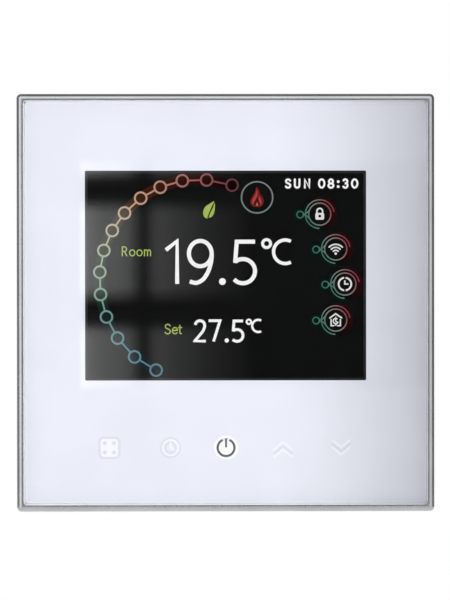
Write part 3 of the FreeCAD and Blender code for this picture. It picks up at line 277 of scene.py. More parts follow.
def wound(name, colour, period, axis, rough, metallic=0.0):
    """Turns of wire or tape laid side by side, with painted shade in the grooves between turns."""
    f = Finish(name)
    turns = f.waves(period, axis, distortion=0.25)
    blotch = f.noise(1.4, 3)
    # Painted shade: the colour darkens in the grooves between turns.
    tint = f.mix(f.spread(turns, 1, 0, 0.0, 0.55), colour, shade(colour, 0.35))
    tint = f.mix(f.spread(blotch, 0, 0.35, 0.4, 0.75), tint, shade(colour, 0.7))
    gloss = f.steady(blotch, rough - 0.08, rough + 0.1)
    return f.done(f.shader(tint, gloss, f.bump(turns, 0.08), Metallic=metallic))


def clear_pane(name, tint, edge_tint, half, rough=0.0):
    """Clear sheet that lets lamps through; its tint deepens towards the rim as the light path grows."""
    f = Finish(name)
    colour = f.mix(f.spread(f.from_middle(), 0, 1, half - 0.5, half), tint, edge_tint)
    solid = f.shader(colour, rough, Transmission_Weight=1.0, IOR=1.5)
    path = f.node("ShaderNodeLightPath")
    through = f.node("ShaderNodeBsdfTransparent").outputs[0]
    for ray in ("Is Diffuse Ray", "Is Shadow Ray"):
        choice = f.node("ShaderNodeMixShader")
        f.feed(choice.inputs[0], path.outputs[ray])
        f.feed(choice.inputs[1], solid)
        f.feed(choice.inputs[2], through)
        solid = choice.outputs[0]
    return f.done(solid)


def foam(name, colour):
    """Open-celled foam; the pores are painted darker and the cell walls lighter, as painted shade in the
    pores.
    """
    f = Finish(name)
    pores = f.cells(0.22)
    # Painted shade: darker in each pore, lighter on the cell walls between.
    tint = f.mix(f.spread(pores, 1, 0, 0.1, 0.5), shade(colour, 1.8), shade(colour, 0.5))
    return f.done(f.shader(tint, 0.9, f.bump(pores, 0.06)))


def printed_ink(name, colour, rough=0.42, speck=0.02, reach=None):
    """Screen print on the back of the glass: dense ink with the faint mesh and mottle of the screen.

    With reach, half the side of the print, the ink is painted lighter along its edges: painted light that
    makes up for the shade the rim casts there.
    """
    f = Finish(name)
    mesh = f.noise(0.14, 2)
    mottle = f.noise(13, 3)
    tint = f.mix(f.steady(mottle, 0, 1), shade(colour, 1 - speck), shade(colour, 1 + speck))
    tint = f.mix(f.spread(mesh, 0.0, 0.25, 0.4, 0.7), tint, shade(colour, 1 - 2 * speck))
    if reach:
        # Painted light: the print turns lighter along its edges, against the shade of the rim.
        painted_edge_light = f.spread(f.from_middle(), 0, 1, reach - 0.9, reach - 0.3)
        tint = f.mix(painted_edge_light, tint, shade(colour, 1.14))
    return f.done(f.shader(tint, f.steady(mesh, rough - 0.04, rough + 0.06), f.bump(mesh, 0.004)))


def lit(name, colour, strength=1.0):
    """Lit pixels of one colour; the drive level wanders a little, as on a real panel."""
    f = Finish(name)
    level = f.spread(f.noise(1.6, 2), 0.93, 1.0, 0.3, 0.6)
    return f.glowing(f.mix(level, (0, 0, 0), colour), strength)


def lit_scale(name, centre, start, end, stops):
    """Lit pixels whose colour runs round an arc.

    Start and end are angles in radians, counted clockwise from straight down.
    """
    f = Finish(name)
    across = f.maths("SUBTRACT", f.along("X"), centre[0])
    up = f.maths("SUBTRACT", f.along("Z"), centre[1])
    angle = f.maths("ARCTAN2", f.maths("MULTIPLY", across, -1.0), f.maths("MULTIPLY", up, -1.0))
    # Past straight up the angle turns negative, so a whole turn is added there.
    whole = f.maths("MULTIPLY", f.maths("LESS_THAN", angle, -0.5), FULL_TURN)
    turned = f.maths("SUBTRACT", f.maths("ADD", angle, whole), start)
    return f.glowing(f.ramp(f.maths("DIVIDE", turned, end - start, clamp=True), stops))


def lit_rings(name, centres, stops):
    """Lit rings whose colour runs from left to right, and a little upwards, round each centre."""
    f = Finish(name)
    reach, row_half = 4.6, 3.4
    x, z = f.along("X"), f.along("Z")
    place = None
    for cx, cz in centres:
        near = f.maths("LESS_THAN", f.maths("ABSOLUTE", f.maths("SUBTRACT", z, cz)), row_half)
        across = f.maths("MULTIPLY_ADD", f.maths("SUBTRACT", x, cx), 0.5 / reach, 0.5)
        lift = f.maths("MULTIPLY_ADD", f.maths("SUBTRACT", z, cz), 0.25 / reach, across)
        part = f.maths("MULTIPLY", near, lift)
        place = part if place is None else f.maths("MAXIMUM", place, part)
    return f.glowing(f.ramp(place, stops))


def bezel_metal():
    """Satin metal of the front frame: fine blasted grain, brushed sheen and slow stains."""
    f = Finish("satin_bezel")
    grain = f.noise(0.07, 3, 0.6)
    sheen = f.noise(0.25, 4, 0.6, (1, 30, 1))
    blotch = f.noise(14, 3)
    tint = f.mix(f.spread(blotch, 0, 1, 0.35, 0.65), (0.66, 0.67, 0.68), (0.74, 0.745, 0.75))
    gloss = f.maths("ADD", f.steady(grain, 0.24, 0.34), f.steady(sheen, -0.03, 0.05))
    relief = f.bump(grain, 0.0015, under=f.bump(sheen, 0.001))
    return f.done(f.shader(tint, gloss, relief, Metallic=1.0))


def display_face():
    """Dark face of the display cell: near-black polariser with a bare hint of the pixel rows."""
    f = Finish("display_cell")
    haze = f.noise(18, 2)
    rows = f.waves(0.18, "Z")
    tint = f.mix(f.steady(haze, 0, 1), (0.0026, 0.0028, 0.0028), (0.0034, 0.0036, 0.0037))
    tint = f.mix(f.spread(rows, 0.0, 0.2), tint, (0.002, 0.002, 0.002))
    gloss = f.steady(haze, 0.5, 0.6)
    return f.done(f.shader(tint, gloss, f.bump(rows, 0.0006), Specular_IOR_Level=0.03))


def milky(name, colour, glow=0.0):
    """Milky light-guide plastic: cloudy inside, with soft moulding marks."""
    f = Finish(name)
    cloud = f.noise(2.2, 4)
    tint = f.mix(f.steady(cloud, 0, 1), shade(colour, 0.93), colour)
    inside = {"Subsurface_Weight": 0.25, "Subsurface_Radius": (0.002, 0.002, 0.002)}
    inside |= {"Emission_Color": colour, "Emission_Strength": glow}
    return f.done(f.shader(tint, f.steady(cloud, 0.22, 0.34), f.bump(cloud, 0.01), **inside))


def chip(name):
    """Black moulded epoxy of the chip packages: fine sandblast grain over slow patches."""
    f = Finish(name)
    fine = f.noise(0.2, 4, 0.6)
    patch = f.noise(4, 3)
    tint = f.mix(f.spread(patch, 0, 1, 0.35, 0.7), (0.018, 0.018, 0.019), (0.034, 0.034, 0.036))
    return f.done(f.shader(tint, f.steady(fine, 0.42, 0.62), f.bump(fine, 0.012)))


def ceramic(name, colour):
    """Glazed or dipped body with an uneven, glossy coat."""
    f = Finish(name)
    glaze = f.noise(1.1, 4)
    tint = f.mix(f.steady(glaze, 0, 1), shade(colour, 0.9), colour)
    return f.done(f.shader(tint, f.steady(glaze, 0.25, 0.4), f.bump(glaze, 0.02), Coat_Weight=0.5))


def sleeve(name, colour):
    """Shrink sleeve of an electrolytic capacitor: satin film with a pale stripe down one side."""
    f = Finish(name)
    wrinkle = f.noise(0.8, 3, 0.5, (1, 8, 1))
    stripe = f.spread(f.waves(9.0, "Z"), 0, 1, 0.93, 0.96)
    tint = f.mix(stripe, colour, (0.55, 0.6, 0.66))
    gloss = f.steady(wrinkle, 0.25, 0.4)
    return f.done(f.shader(tint, gloss, f.bump(wrinkle, 0.02), Coat_Weight=0.2))


GLASS_HALF = corners_mm("front_glass")[1].x
finishes = {
    "clear_glass": clear_pane(
        "clear_glass", (0.998, 1.0, 0.999), (0.95, 0.99, 0.975), GLASS_HALF,
    ),
    # The white print is painted lighter along its edges: painted light against the rim's shade.
    "white_print": printed_ink("white_print", (0.776, 0.794, 0.876), reach=GLASS_HALF),
    "clear_tape": clear_pane("clear_tape", (0.97, 0.97, 0.96), (0.9, 0.9, 0.88), GLASS_HALF, 0.12),
    "satin_bezel": bezel_metal(),
    "black_foam": foam("black_foam", (0.02, 0.02, 0.021)),
    "display_cell": display_face(),
    "backlight_white": milky("backlight_white", (0.86, 0.87, 0.86)),
    "bracket_plastic": moulded("bracket_plastic", (0.62, 0.63, 0.63), 0.5),
    "amber_film": moulded("amber_film", (0.55, 0.24, 0.03), 0.25, 1.2, 0.004, 0.12, Coat_Weight=0.5),
    "spring_steel": metal("spring_steel", (0.62, 0.62, 0.6), 0.28, (1, 6, 1)),
    "milky_guide": milky("milky_guide", (0.85, 0.86, 0.86)),
    "led_white": milky("led_white", (0.9, 0.88, 0.7), 0.2),
    "control_board_green": circuit_board("control_board_green", (0.03, 0.17, 0.07), 2.2),
    "chip_black": chip("chip_black"),
    "module_blue": circuit_board("module_blue", (0.02, 0.07, 0.22), 1.4),
    "shield_steel": metal("shield_steel", (0.68, 0.68, 0.67), 0.25, (10, 1, 1)),
    "coin_steel": metal("coin_steel", (0.72, 0.72, 0.71), 0.2, (1, 1, 1), 0.3),
    "holder_black": moulded("holder_black", (0.02, 0.02, 0.021), 0.4),
    "bead_epoxy": ceramic("bead_epoxy", (0.02, 0.02, 0.022)),
    "pin_gold": metal("pin_gold", (0.9, 0.66, 0.27), 0.2, (1, 8, 1)),
    "cover_white": moulded("cover_white", (0.8, 0.8, 0.79), 0.5),
    "screw_zinc": metal("screw_zinc", (0.66, 0.67, 0.68), 0.3, (1, 1, 1), 0.15, 0.004, 0.1),
    "plate_zinc": galvanised("plate_zinc", (0.60, 0.61, 0.63)),
    "box_white": moulded("box_white", (0.78, 0.785, 0.78), 0.5, 0.4, 0.014),
    "power_board_green": circuit_board("power_board_green", (0.04, 0.2, 0.08), 3.4),
    "relay_blue": moulded("relay_blue", (0.02, 0.09, 0.36), 0.3, 0.5, 0.006, 0.08, Coat_Weight=0.3),
    "coil_copper": wound("coil_copper", (0.72, 0.3, 0.12), 0.22, "Z", 0.3, 0.8),
    "soft_iron": metal("soft_iron", (0.42, 0.41, 0.4), 0.38, (1, 4, 1)),
    "contact_silver": metal("contact_silver", (0.82, 0.81, 0.78), 0.22),
    "ferrite_grey": ceramic("ferrite_grey", (0.05, 0.05, 0.052)),
    "winding_tape": wound("winding_tape", (0.75, 0.62, 0.12), 1.3, "Y", 0.25),
    "can_sleeve": sleeve("can_sleeve", (0.015, 0.02, 0.05)),
    "capacitor_yellow": moulded("capacitor_yellow", (0.72, 0.5, 0.05), 0.35, 0.6, 0.008),
    "varistor_blue": ceramic("varistor_blue", (0.03, 0.12, 0.42)),
    "fuse_ceramic": ceramic("fuse_ceramic", (0.8, 0.78, 0.72)),
    "terminal_green": moulded("terminal_green", (0.03, 0.28, 0.1), 0.38, 0.4, 0.01),
    "terminal_brass": metal("terminal_brass", (0.72, 0.56, 0.27), 0.28, (1, 6, 1)),
    "terminal_steel": metal("terminal_steel", (0.62, 0.63, 0.64), 0.3, (1, 1, 1), 0.15, 0.004, 0.1),
}
for cad_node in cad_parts.values():
    for material_slot in cad_node.material_slots:
        material_slot.material = finishes[material_slot.material.name.split(".")[0]]
white_print = finishes["white_print"]
black_print = printed_ink("black_print", (0.0035, 0.0035, 0.004), 0.5, 0.1)


# ---------------------------------------------------------------- flat artwork
# Artwork is drawn on the front as loops of (x, z) points in millimetres.

SAME_POINT = 1e-6
# A corner of a stroke reaches out no further than half its width divided by this.
MITRE_LIMIT = 0.62
CAP_STEPS, CORNER_STEPS, RING_STEPS, DOT_STEPS = 8, 6, 40, 20


def arc(centre, radius, start, end, steps=28):
    """Points of an arc; radius may be (across, up); angles in degrees, counted from +X towards +Z."""
    across, up = radius if isinstance(radius, tuple) else (radius, radius)
    turns = [math.radians(start + (end - start) * i / steps) for i in range(steps + 1)]
    return [(centre[0] + across * math.cos(t), centre[1] + up * math.sin(t)) for t in turns]


def curve(points, steps=6):
    """A smooth line through these points."""
    padded = [points[0], *points, points[-1]]
    made = []
    for a, b, c, d in zip(padded, padded[1:], padded[2:], padded[3:]):
        for i in range(steps):
            t = i / steps
            made.append(tuple(
                0.5 * (
                    2 * q + (r - p) * t
                    + (2 * p - 5 * q + 4 * r - s) * t * t
                    + (3 * q - p - 3 * r + s) * t ** 3
                )
                for p, q, r, s in zip(a, b, c, d)
            ))
    return [*made, points[-1]]


def stroke(points, width, closed=False, round_ends=True):
    """Outlines of a stroke: one loop for an open stroke, two loops for a closed one."""
    half = width / 2
    points = [Vector(p) for p in points]
    if closed and (points[0] - points[-1]).length < SAME_POINT:
        points = points[:-1]
    count = len(points)
    sides = ([], [])
    for i, point in enumerate(points):
        ways = []
        if closed or i:
            ways.append((point - points[i - 1]).normalized())
        if closed or i < count - 1:
            ways.append((points[(i + 1) % count] - point).normalized())
        normals = [Vector((-way.y, way.x)) for way in ways]
        middle = sum(normals, Vector((0, 0))).normalized()
        reach = half / max(MITRE_LIMIT, middle.dot(normals[0]))
        sides[0].append(point + middle * reach)
        sides[1].append(point - middle * reach)
    if closed:
        return [sides[0], sides[1]]

    if not round_ends:
        return [sides[0] + sides[1][::-1]]

    def cap(end, inner):
        heading = math.atan2(end.y - inner.y, end.x - inner.x)
        turns = [heading + math.pi * (0.5 - k / CAP_STEPS) for k in range(1, CAP_STEPS)]
        return [end + Vector((math.cos(turn), math.sin(turn))) * half for turn in turns]

    far, near = cap(points[-1], points[-2]), cap(points[0], points[1])
    return [sides[0] + far + sides[1][::-1] + near]


def tidy_normals(mesh):
    """Turns every face outwards."""
    work = bmesh.new()
    work.from_mesh(mesh)
    bmesh.ops.recalc_face_normals(work, faces=work.faces)
    work.to_mesh(mesh)
    work.free()


def flat_piece(name, shapes, front, back, finish):
    """A thin piece on the front panel with these outlines, from y = front to y = back.

    A shape is one loop, or an outer and an inner loop with as many points each.
    """
    vertices, faces = [], []
    for shape in shapes:
        rings = []
        for loop in shape:
            rings.append((len(vertices), len(loop)))
            for y in (front, back):
                vertices += [(p[0] * MM, y * MM, p[1] * MM) for p in loop]
        for start, count in rings:
            for i in range(count):
                j = (i + 1) % count
                faces.append((start + i, start + j, start + count + j, start + count + i))
        start, count = rings[0]
        if len(shape) == 1:
            faces.append(tuple(range(start, start + count)))
            faces.append(tuple(range(start + 2 * count - 1, start + count - 1, -1)))
        else:
            inner = rings[1][0]
            for i in range(count):
                j = (i + 1) % count
                faces.append((start + i, inner + i, inner + j, start + j))
                faces.append((start + count + j, inner + count + j, inner + count + i, start + count + i))
    mesh = bpy.data.meshes.new(name)
    mesh.from_pydata(vertices, [], faces)
    mesh.validate()
    made = bpy.data.objects.new(name, mesh)
    bpy.context.scene.collection.objects.link(made)
    tidy_normals(mesh)
    mesh.materials.append(finish)
    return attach(made, FRONT)


def placed(points, centre, size=1.0):
    """These points moved to a centre and scaled about it."""
    return [(centre[0] + x * size, centre[1] + z * size) for x, z in points]


def ring(centre, radius, width):
    return stroke(arc(centre, radius, 0, 360, RING_STEPS), width, closed=True)


def dot(centre, radius):
    return [arc(centre, radius, 0, 360, DOT_STEPS)[:-1]]


def rounded(centre, across, up, radius):
    """Outline of a rounded rectangle of this full width and height."""
    made = []
    for sx, sz, start in ((1, 1, 0), (-1, 1, 90), (-1, -1, 180), (1, -1, 270)):
        middle = (centre[0] + sx * (across / 2 - radius), centre[1] + sz * (up / 2 - radius))
        made += arc(middle, radius, start, start + 90, CORNER_STEPS)
    return made


# Glyphs one unit high: each stroke is a line of points, and a dot is one point.
GLYPHS = {
    "0": [arc((0.33, 0.5), (0.33, 0.5), 90, 450, 36)],
    "1": [[(0, 0.785), (0.27, 1.0), (0.27, -0.03)]],
    "2": [
        curve([
            (0.02, 0.80), (0.10, 0.94), (0.26, 1.0), (0.43, 0.93),
            (0.49, 0.74), (0.41, 0.5), (0.22, 0.26), (0.0, 0.0),
        ]) + [(0.54, 0.0)],
    ],
    "3": [arc((0.24, 0.75), 0.25, 150, -80, 16) + arc((0.24, 0.26), 0.27, 80, -150, 18)],
    "5": [[(0.50, 0.985), (0.06, 0.985), (0.02, 0.475)], arc((0.208, 0.276), 0.291, 130, -137, 30)],
    "7": [[(0, 1), (0.56, 1), (0.24, -0.02)]],
    "8": [arc((0.3, 0.745), (0.24, 0.255), 90, 450, 28), arc((0.3, 0.25), (0.3, 0.26), 90, 450, 28)],
    "9": [
        arc((0.274, 0.70), (0.274, 0.305), 0, 360, 40),
        curve([
            (0.548, 0.70), (0.545, 0.58), (0.515, 0.42), (0.455, 0.25),
            (0.34, 0.08), (0.18, -0.005), (0.02, 0.03),
        ]),
    ],
    ".": [[(0, 0.03)]],
    ":": [[(0, 0.12)], [(0, 0.72)]],
    "C": [arc((0.3, 0.5), 0.5, 62, 298, 34)],
    "N": [[(0, 0), (0, 1), (0.55, 0), (0.55, 1)]],
    "R": [
        [(0, 0), (0, 1), (0.22, 1)] + arc((0.22, 0.75), 0.25, 80, -80, 10) + [(0.22, 0.5), (0, 0.5)],
        [(0.24, 0.5), (0.5, 0)],
    ],
    "S": [
        curve([
            (0.52, 0.84), (0.4, 0.97), (0.24, 1.0), (0.07, 0.92), (0.02, 0.76), (0.11, 0.6), (0.28, 0.52),
            (0.46, 0.42), (0.54, 0.25), (0.46, 0.06), (0.26, 0.0), (0.09, 0.04), (0.0, 0.15),
        ]),
    ],
    "U": [[(0, 1), (0, 0.3)] + arc((0.28, 0.28), 0.28, 180, 360, 12) + [(0.56, 0.3), (0.56, 1)]],
    "e": [[(0.02, 0.33), (0.56, 0.36)] + arc((0.29, 0.33), (0.28, 0.33), 15, 320, 24)],
    "m": [
        [(0, 0), (0, 0.66)],
        [(0, 0.42)] + arc((0.17, 0.44), (0.17, 0.22), 160, 10, 8) + [(0.34, 0)],
        [(0.34, 0.42)] + arc((0.51, 0.44), (0.17, 0.22), 160, 10, 8) + [(0.68, 0)],
    ],
    "o": [arc((0.29, 0.33), (0.29, 0.33), 90, 450, 26)],
    "t": [[(0.14, 0.9), (0.14, 0.14)] + arc((0.26, 0.14), 0.13, 190, 290, 6), [(0, 0.66), (0.34, 0.66)]],
}


DOT_SHARE = 0.72
JOINED = 1e-3


def glyph(letter, corner, height, width, round_ends=False):
    """Shapes of one glyph: corner is the left end of its base line; height is between stroke centres."""
    shapes = []
    for line in GLYPHS[letter]:
        points = placed(line, corner, height)
        if len(points) == 1:
            shapes.append(dot(points[0], width * DOT_SHARE))
        else:
            closed = math.dist(points[0], points[-1]) < JOINED
            shapes.append(stroke(points, width, closed, round_ends))
    return shapes


def text(parts, height, width, base, round_ends=False):
    """Shapes of several glyphs: parts are (glyph, left edge)."""
    shapes = []
    for letter, left in parts:
        shapes += glyph(letter, (left, base), height, width, round_ends)
    return shapes


# ---------------------------------------------------------------- front print and key marks

mask_low, mask_high = corners_mm("printed_mask")
glass_front, glass_back = (corner.y for corner in corners_mm("front_glass"))
cell_front = corners_mm("lcd_cell")[0].y
WINDOW = (0.0, 5.6)
WINDOW_SIZE = (57.9, 43.2)
BORDER = 0.55
FILM_CORNER, WINDOW_CORNER, BORDER_CORNER = 0.6, 0.25, 0.1
PRINT_FRONT, PRINT_BACK = glass_back + 0.01, glass_back + 0.03
# Marks that overlap are printed one over the other, each this much nearer the glass.
SECOND_PRINT, THIRD_PRINT = PRINT_FRONT - 0.004, PRINT_FRONT - 0.007
FILM_FRONT, FILM_BACK = glass_back + 0.04, glass_back + 0.1
BORDER_FRONT, BORDER_BACK = FILM_BACK + 0.02, FILM_BACK + 0.06
film_side = mask_high.x - mask_low.x
window_loop = rounded(WINDOW, *WINDOW_SIZE, WINDOW_CORNER)
border_loop = rounded(WINDOW, *(side - 2 * BORDER for side in WINDOW_SIZE), BORDER_CORNER)


def printed(name, shapes, finish, front=PRINT_FRONT, back=PRINT_BACK):
    return flat_piece(name, shapes, front, back, finish)


film_shape = [rounded((0, 0), film_side, film_side, FILM_CORNER), window_loop]
film = printed("face_film", [film_shape], white_print, FILM_FRONT, FILM_BACK)
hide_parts("printed_mask")
printed("window_border", [[window_loop, border_loop]], black_print, BORDER_FRONT, BORDER_BACK)

KEY_ROW = -29.86
MENU, CLOCK, POWER, UP, DOWN = [(x, KEY_ROW) for x in (-23.98, -11.39, 0.05, 11.8, 23.76)]
halo_print = printed_ink("halo_print", (0.69, 0.705, 0.79))
faint_print = printed_ink("faint_print", (0.87, 0.88, 0.945), 0.38)
bright_print = printed_ink("bright_print", (0.95, 0.955, 0.97), 0.35)
dot_print = printed_ink("dot_print", (0.69, 0.70, 0.79))
grey_print = printed_ink("grey_print", (0.085, 0.09, 0.095), 0.4, 0.08)


def chevron(key, way, rise, width):
    """Open arrow on a key, pointing up for way 1 and down for way -1, its point lifted by rise."""
    half, height = 1.85, 1.5
    ends = rise - way * height
    return stroke(placed([(-half, ends), (0, rise), (half, ends)], key), width)


UP_RISES, DOWN_RISES = (1.1, -0.42), (0.05, -1.45)
HALO_LIFT = 0.72
halo = [
    stroke(rounded(MENU, 4.1, 4.1, 0.9), 0.55, closed=True),
    ring(CLOCK, 1.95, 0.5),
    ring(CLOCK, 1.05, 0.5),
    chevron(UP, 1, UP_RISES[1] + HALO_LIFT, 0.42),
    chevron(DOWN, -1, DOWN_RISES[1] + HALO_LIFT, 0.42),
]
printed("key_mark_halos", halo, halo_print)
faint = [
    [rounded(MENU, 3.6, 3.7, 0.7)],
    ring(CLOCK, 1.6, 0.34),
    stroke(placed([(0, 1.0), (0, 0), (0.75, -0.45)], CLOCK), 0.3),
]
faint += [chevron(UP, 1, rise, 0.38) for rise in UP_RISES]
faint += [chevron(DOWN, -1, rise, 0.38) for rise in DOWN_RISES]
printed("key_marks", faint, faint_print, SECOND_PRINT)
printed("power_halo", [ring(POWER, 2.25, 0.4), dot(POWER, 1.5)], bright_print, SECOND_PRINT)
menu_grid = placed([(sx, sz) for sx in (-1, 1) for sz in (-1, 1)], MENU, 0.95)
printed("menu_mark_dots", [dot(place, 0.42) for place in menu_grid], dot_print, THIRD_PRINT)
power_mark = [
    stroke(arc(POWER, 1.72, 114, 426, RING_STEPS), 0.46, round_ends=False),
    stroke(placed([(0, 1.95), (0, 0.05)], POWER), 0.44, round_ends=False),
]
printed("power_mark", power_mark, grey_print, THIRD_PRINT)

# ---------------------------------------------------------------- what the display shows

GLOW_FRONT, GLOW_BACK = cell_front - 0.06, cell_front - 0.02
# Soft glows lie between the lit marks and the cell.
UNDER_FRONT, UNDER_BACK = GLOW_BACK + 0.004, GLOW_BACK + 0.012
OVER, FAR_OVER = 0.01, 0.014
white_pixels = lit("white_pixels", (1.0, 1.0, 1.0), 0.98)
green_pixels = lit("green_pixels", (0.40, 0.50, 0.12))


def shown(name, shapes, finish, lift=0.0):
    """Lit marks on the display, lifted over the others where they overlap."""
    flat_piece(name, shapes, GLOW_FRONT - lift, GLOW_BACK, finish)


def shown_under(name, shapes, finish):
    flat_piece(name, shapes, UNDER_FRONT, UNDER_BACK, finish)


ROOM_HEIGHT, ROOM_BASE, ROOM_STROKE = 8.56, 4.14, 0.84
room_value = text([("1", -12.3), ("9", -7.56), ("5", 1.79)], ROOM_HEIGHT, ROOM_STROKE, ROOM_BASE)
room_value.append(dot((-0.67, 4.36), 0.7))
room_value.append(ring((8.45, 12.17), 0.82, 0.6))
room_value += glyph("C", (10.85, 8.06), 4.85, 0.68)
shown("room_value", room_value, white_pixels)
SET_HEIGHT, SET_BASE, SET_STROKE = 4.2, -7.9, 0.57
set_value = text([("2", -6.39), ("7", -3.51), ("5", 1.47)], SET_HEIGHT, SET_STROKE, SET_BASE)
set_value.append(dot((0.22, SET_BASE + 0.12), 0.44))
set_value.append(ring((4.78, -3.94), 0.46, 0.38))
set_value += glyph("C", (5.97, -6.04), 2.5, 0.46)
shown("set_value", set_value, white_pixels)
DAY_TIME = [
    ("S", 12.43), ("U", 14.28), ("N", 16.34),
    ("0", 19.25), ("8", 21.21), (":", 23.23), ("3", 24.27), ("0", 26.05),
]
shown("day_time", text(DAY_TIME, 1.7, 0.4, 23.69, True), white_pixels)
words = text([("R", -21.27), ("o", -19.77), ("o", -18.27), ("m", -16.71)], 1.85, 0.23, 9.68, True)
words += text([("S", -12.46), ("e", -11.01), ("t", -9.71)], 1.95, 0.23, -6.39, True)
shown("word_marks", words, green_pixels)

SCALE_CENTRE = (-5.21, 4.8)
# Clockwise from straight down.
SCALE_START, SCALE_END = math.radians(25.8), math.radians(198.6)
SCALE_COLOURS = [
    (0.0, (0.10, 0.21, 0.26)), (0.12, (0.12, 0.24, 0.29)), (0.24, (0.16, 0.28, 0.28)),
    (0.34, (0.24, 0.38, 0.30)), (0.45, (0.36, 0.44, 0.30)), (0.55, (0.50, 0.44, 0.31)),
    (0.66, (0.55, 0.36, 0.25)), (0.74, (0.50, 0.28, 0.21)), (0.82, (0.38, 0.17, 0.15)),
    (0.90, (0.28, 0.10, 0.10)), (1.0, (0.12, 0.04, 0.05)),
]
SCALE_PLACES = [
    (-14.34, -13.88), (-18.79, -11.14), (-22.27, -7.26), (-24.56, -2.9), (-25.77, 1.73),
    (-25.91, 6.33), (-25.07, 10.78), (-23.34, 14.9), (-20.8, 18.5), (-17.47, 21.55),
    (-13.44, 23.8), (-8.9, 25.13), (-3.89, 25.29), (1.35, 24.21),
]
NODE_RADIUS = 1.2
scale_shapes = [ring(place, NODE_RADIUS, 0.38) for place in SCALE_PLACES]
for a, b in zip(SCALE_PLACES, SCALE_PLACES[1:]):
    way = (Vector(b) - Vector(a)).normalized() * NODE_RADIUS
    scale_shapes.append(stroke([Vector(a) + way, Vector(b) - way], 0.34, round_ends=False))
scale_finish = lit_scale("scale_pixels", SCALE_CENTRE, SCALE_START, SCALE_END, SCALE_COLOURS)
shown("temperature_scale", scale_shapes, scale_finish)


def spill(colour):
    """Stray light round a mark of this colour: purer and much dimmer."""
    grey = sum(colour) / 3
    return tuple(0.085 * max(0.0, 1.8 * channel - 0.8 * grey) ** 1.5 for channel in colour)


SPILL_COLOURS = [(place, spill(colour)) for place, colour in SCALE_COLOURS]
spill_finish = lit_scale("scale_glow_pixels", SCALE_CENTRE, SCALE_START, SCALE_END, SPILL_COLOURS)
shown_under("scale_glow", [stroke(curve(SCALE_PLACES, 5), 2.2)], spill_finish)

FLAME = (6.5, 21.7)
shown("flame_ring", [ring(FLAME, 3.22, 0.29)], lit("flame_ring_pixels", (0.19, 0.24, 0.23)))
flame_outline = curve([
    (0.0, -2.0), (-0.75, -1.9), (-1.3, -1.35), (-1.35, -0.6), (-0.95, 0.2), (-0.55, 0.85),
    (-0.3, 1.5), (-0.15, 2.15), (0.35, 1.6), (0.55, 0.95), (0.75, 0.55), (1.1, 0.1),
    (1.35, -0.6), (1.25, -1.35), (0.75, -1.9), (0.0, -2.0),
])[:-1]
left_tongue = curve([
    (-0.85, -1.55), (-1.05, -0.75), (-0.7, 0.05), (-0.3, 0.75), (-0.1, 1.6),
    (0.1, 0.9), (0.0, 0.2), (-0.35, -0.5), (-0.6, -1.0), (-0.85, -1.55),
])[:-1]
right_tongue = curve([
    (0.75, -1.6), (0.95, -0.95), (0.75, -0.35), (0.45, 0.25), (0.3, -0.3), (0.4, -0.9), (0.75, -1.6),
])[:-1]
flame_core = curve([
    (0.0, -1.85), (-0.5, -1.65), (-0.6, -1.1), (-0.3, -0.55), (0.02, 0.0),
    (0.3, -0.55), (0.6, -1.1), (0.5, -1.65), (0.0, -1.85),
])[:-1]
ember = placed(flame_core, (FLAME[0], FLAME[1] - 1.0), 0.42)
tongues = [[placed(tongue, FLAME)] for tongue in (left_tongue, right_tongue)]
shown("flame_mark", [[placed(flame_outline, FLAME)]], lit("flame_pixels", (0.17, 0.014, 0.016)))
shown("flame_tongues", tongues, lit("flame_tongue_pixels", (0.48, 0.05, 0.045)), OVER)
shown("flame_core", [[placed(flame_core, FLAME)]], lit("flame_core_pixels", (0.06, 0.008, 0.008)), OVER)
shown("flame_ember", [[ember]], lit("flame_ember_pixels", (0.5, 0.11, 0.08)), FAR_OVER)
LEAF, LEAF_SCALE = (-3.44, 19.07), 0.9
leaf_left = curve([
    (-0.35, -1.95), (-1.1, -1.45), (-1.3, -0.4), (-0.85, 0.75), (0.1, 1.4),
    (1.2, 2.05), (0.55, 0.6), (0.1, -0.5), (-0.3, -1.5),
])
leaf_right = curve([
    (-0.05, -1.75), (0.35, -0.6), (0.95, 0.6), (1.35, 1.75), (1.35, 0.2), (1.1, -0.9), (0.55, -1.6),
])
leaf_shapes = [[placed(half, LEAF, LEAF_SCALE)] for half in (leaf_left, leaf_right)]
shown("leaf_mark", leaf_shapes, lit("leaf_pixels", (0.38, 0.50, 0.10)))

MARKS = {"lock": (19.41, 18.23), "link": (22.7, 11.05), "timer": (24.59, 3.82), "home": (22.69, -3.6)}
# Beside each mark: a small loop on the left, joined to the ring by two crossing strokes.
CROSSING = (((-3.6, 0.4), (-2.05, -0.95)), ((-3.6, -0.6), (-2.05, 0.85)))
ring_shapes, halo_shapes = [], []
for centre in MARKS.values():
    ring_shapes.append(ring(centre, 2.28, 0.24))
    ring_shapes.append(stroke(arc(centre, 2.95, 8, 268, RING_STEPS), 0.22, round_ends=False))
    ring_shapes.append(ring((centre[0] - 4.05, centre[1] - 0.1), 0.68, 0.24))
    ring_shapes += [stroke(placed(line, centre), 0.24, round_ends=False) for line in CROSSING]
    halo_shapes.append(ring(centre, 2.75, 1.7))
    halo_shapes.append(ring((centre[0] - 4.25, centre[1] - 0.1), 0.6, 1.15))
RING_COLOURS = [
    (0.0, (0.06, 0.15, 0.12)), (0.18, (0.07, 0.17, 0.14)), (0.35, (0.20, 0.23, 0.21)),
    (0.6, (0.24, 0.19, 0.18)), (0.8, (0.22, 0.07, 0.08)), (1.0, (0.16, 0.02, 0.03)),
]
RING_HALO = [
    (0.0, (0.0, 0.011, 0.007)), (0.3, (0.0, 0.008, 0.005)), (0.42, (0.002, 0.003, 0.003)),
    (0.62, (0.01, 0.002, 0.002)), (1.0, (0.03, 0.001, 0.002)),
]
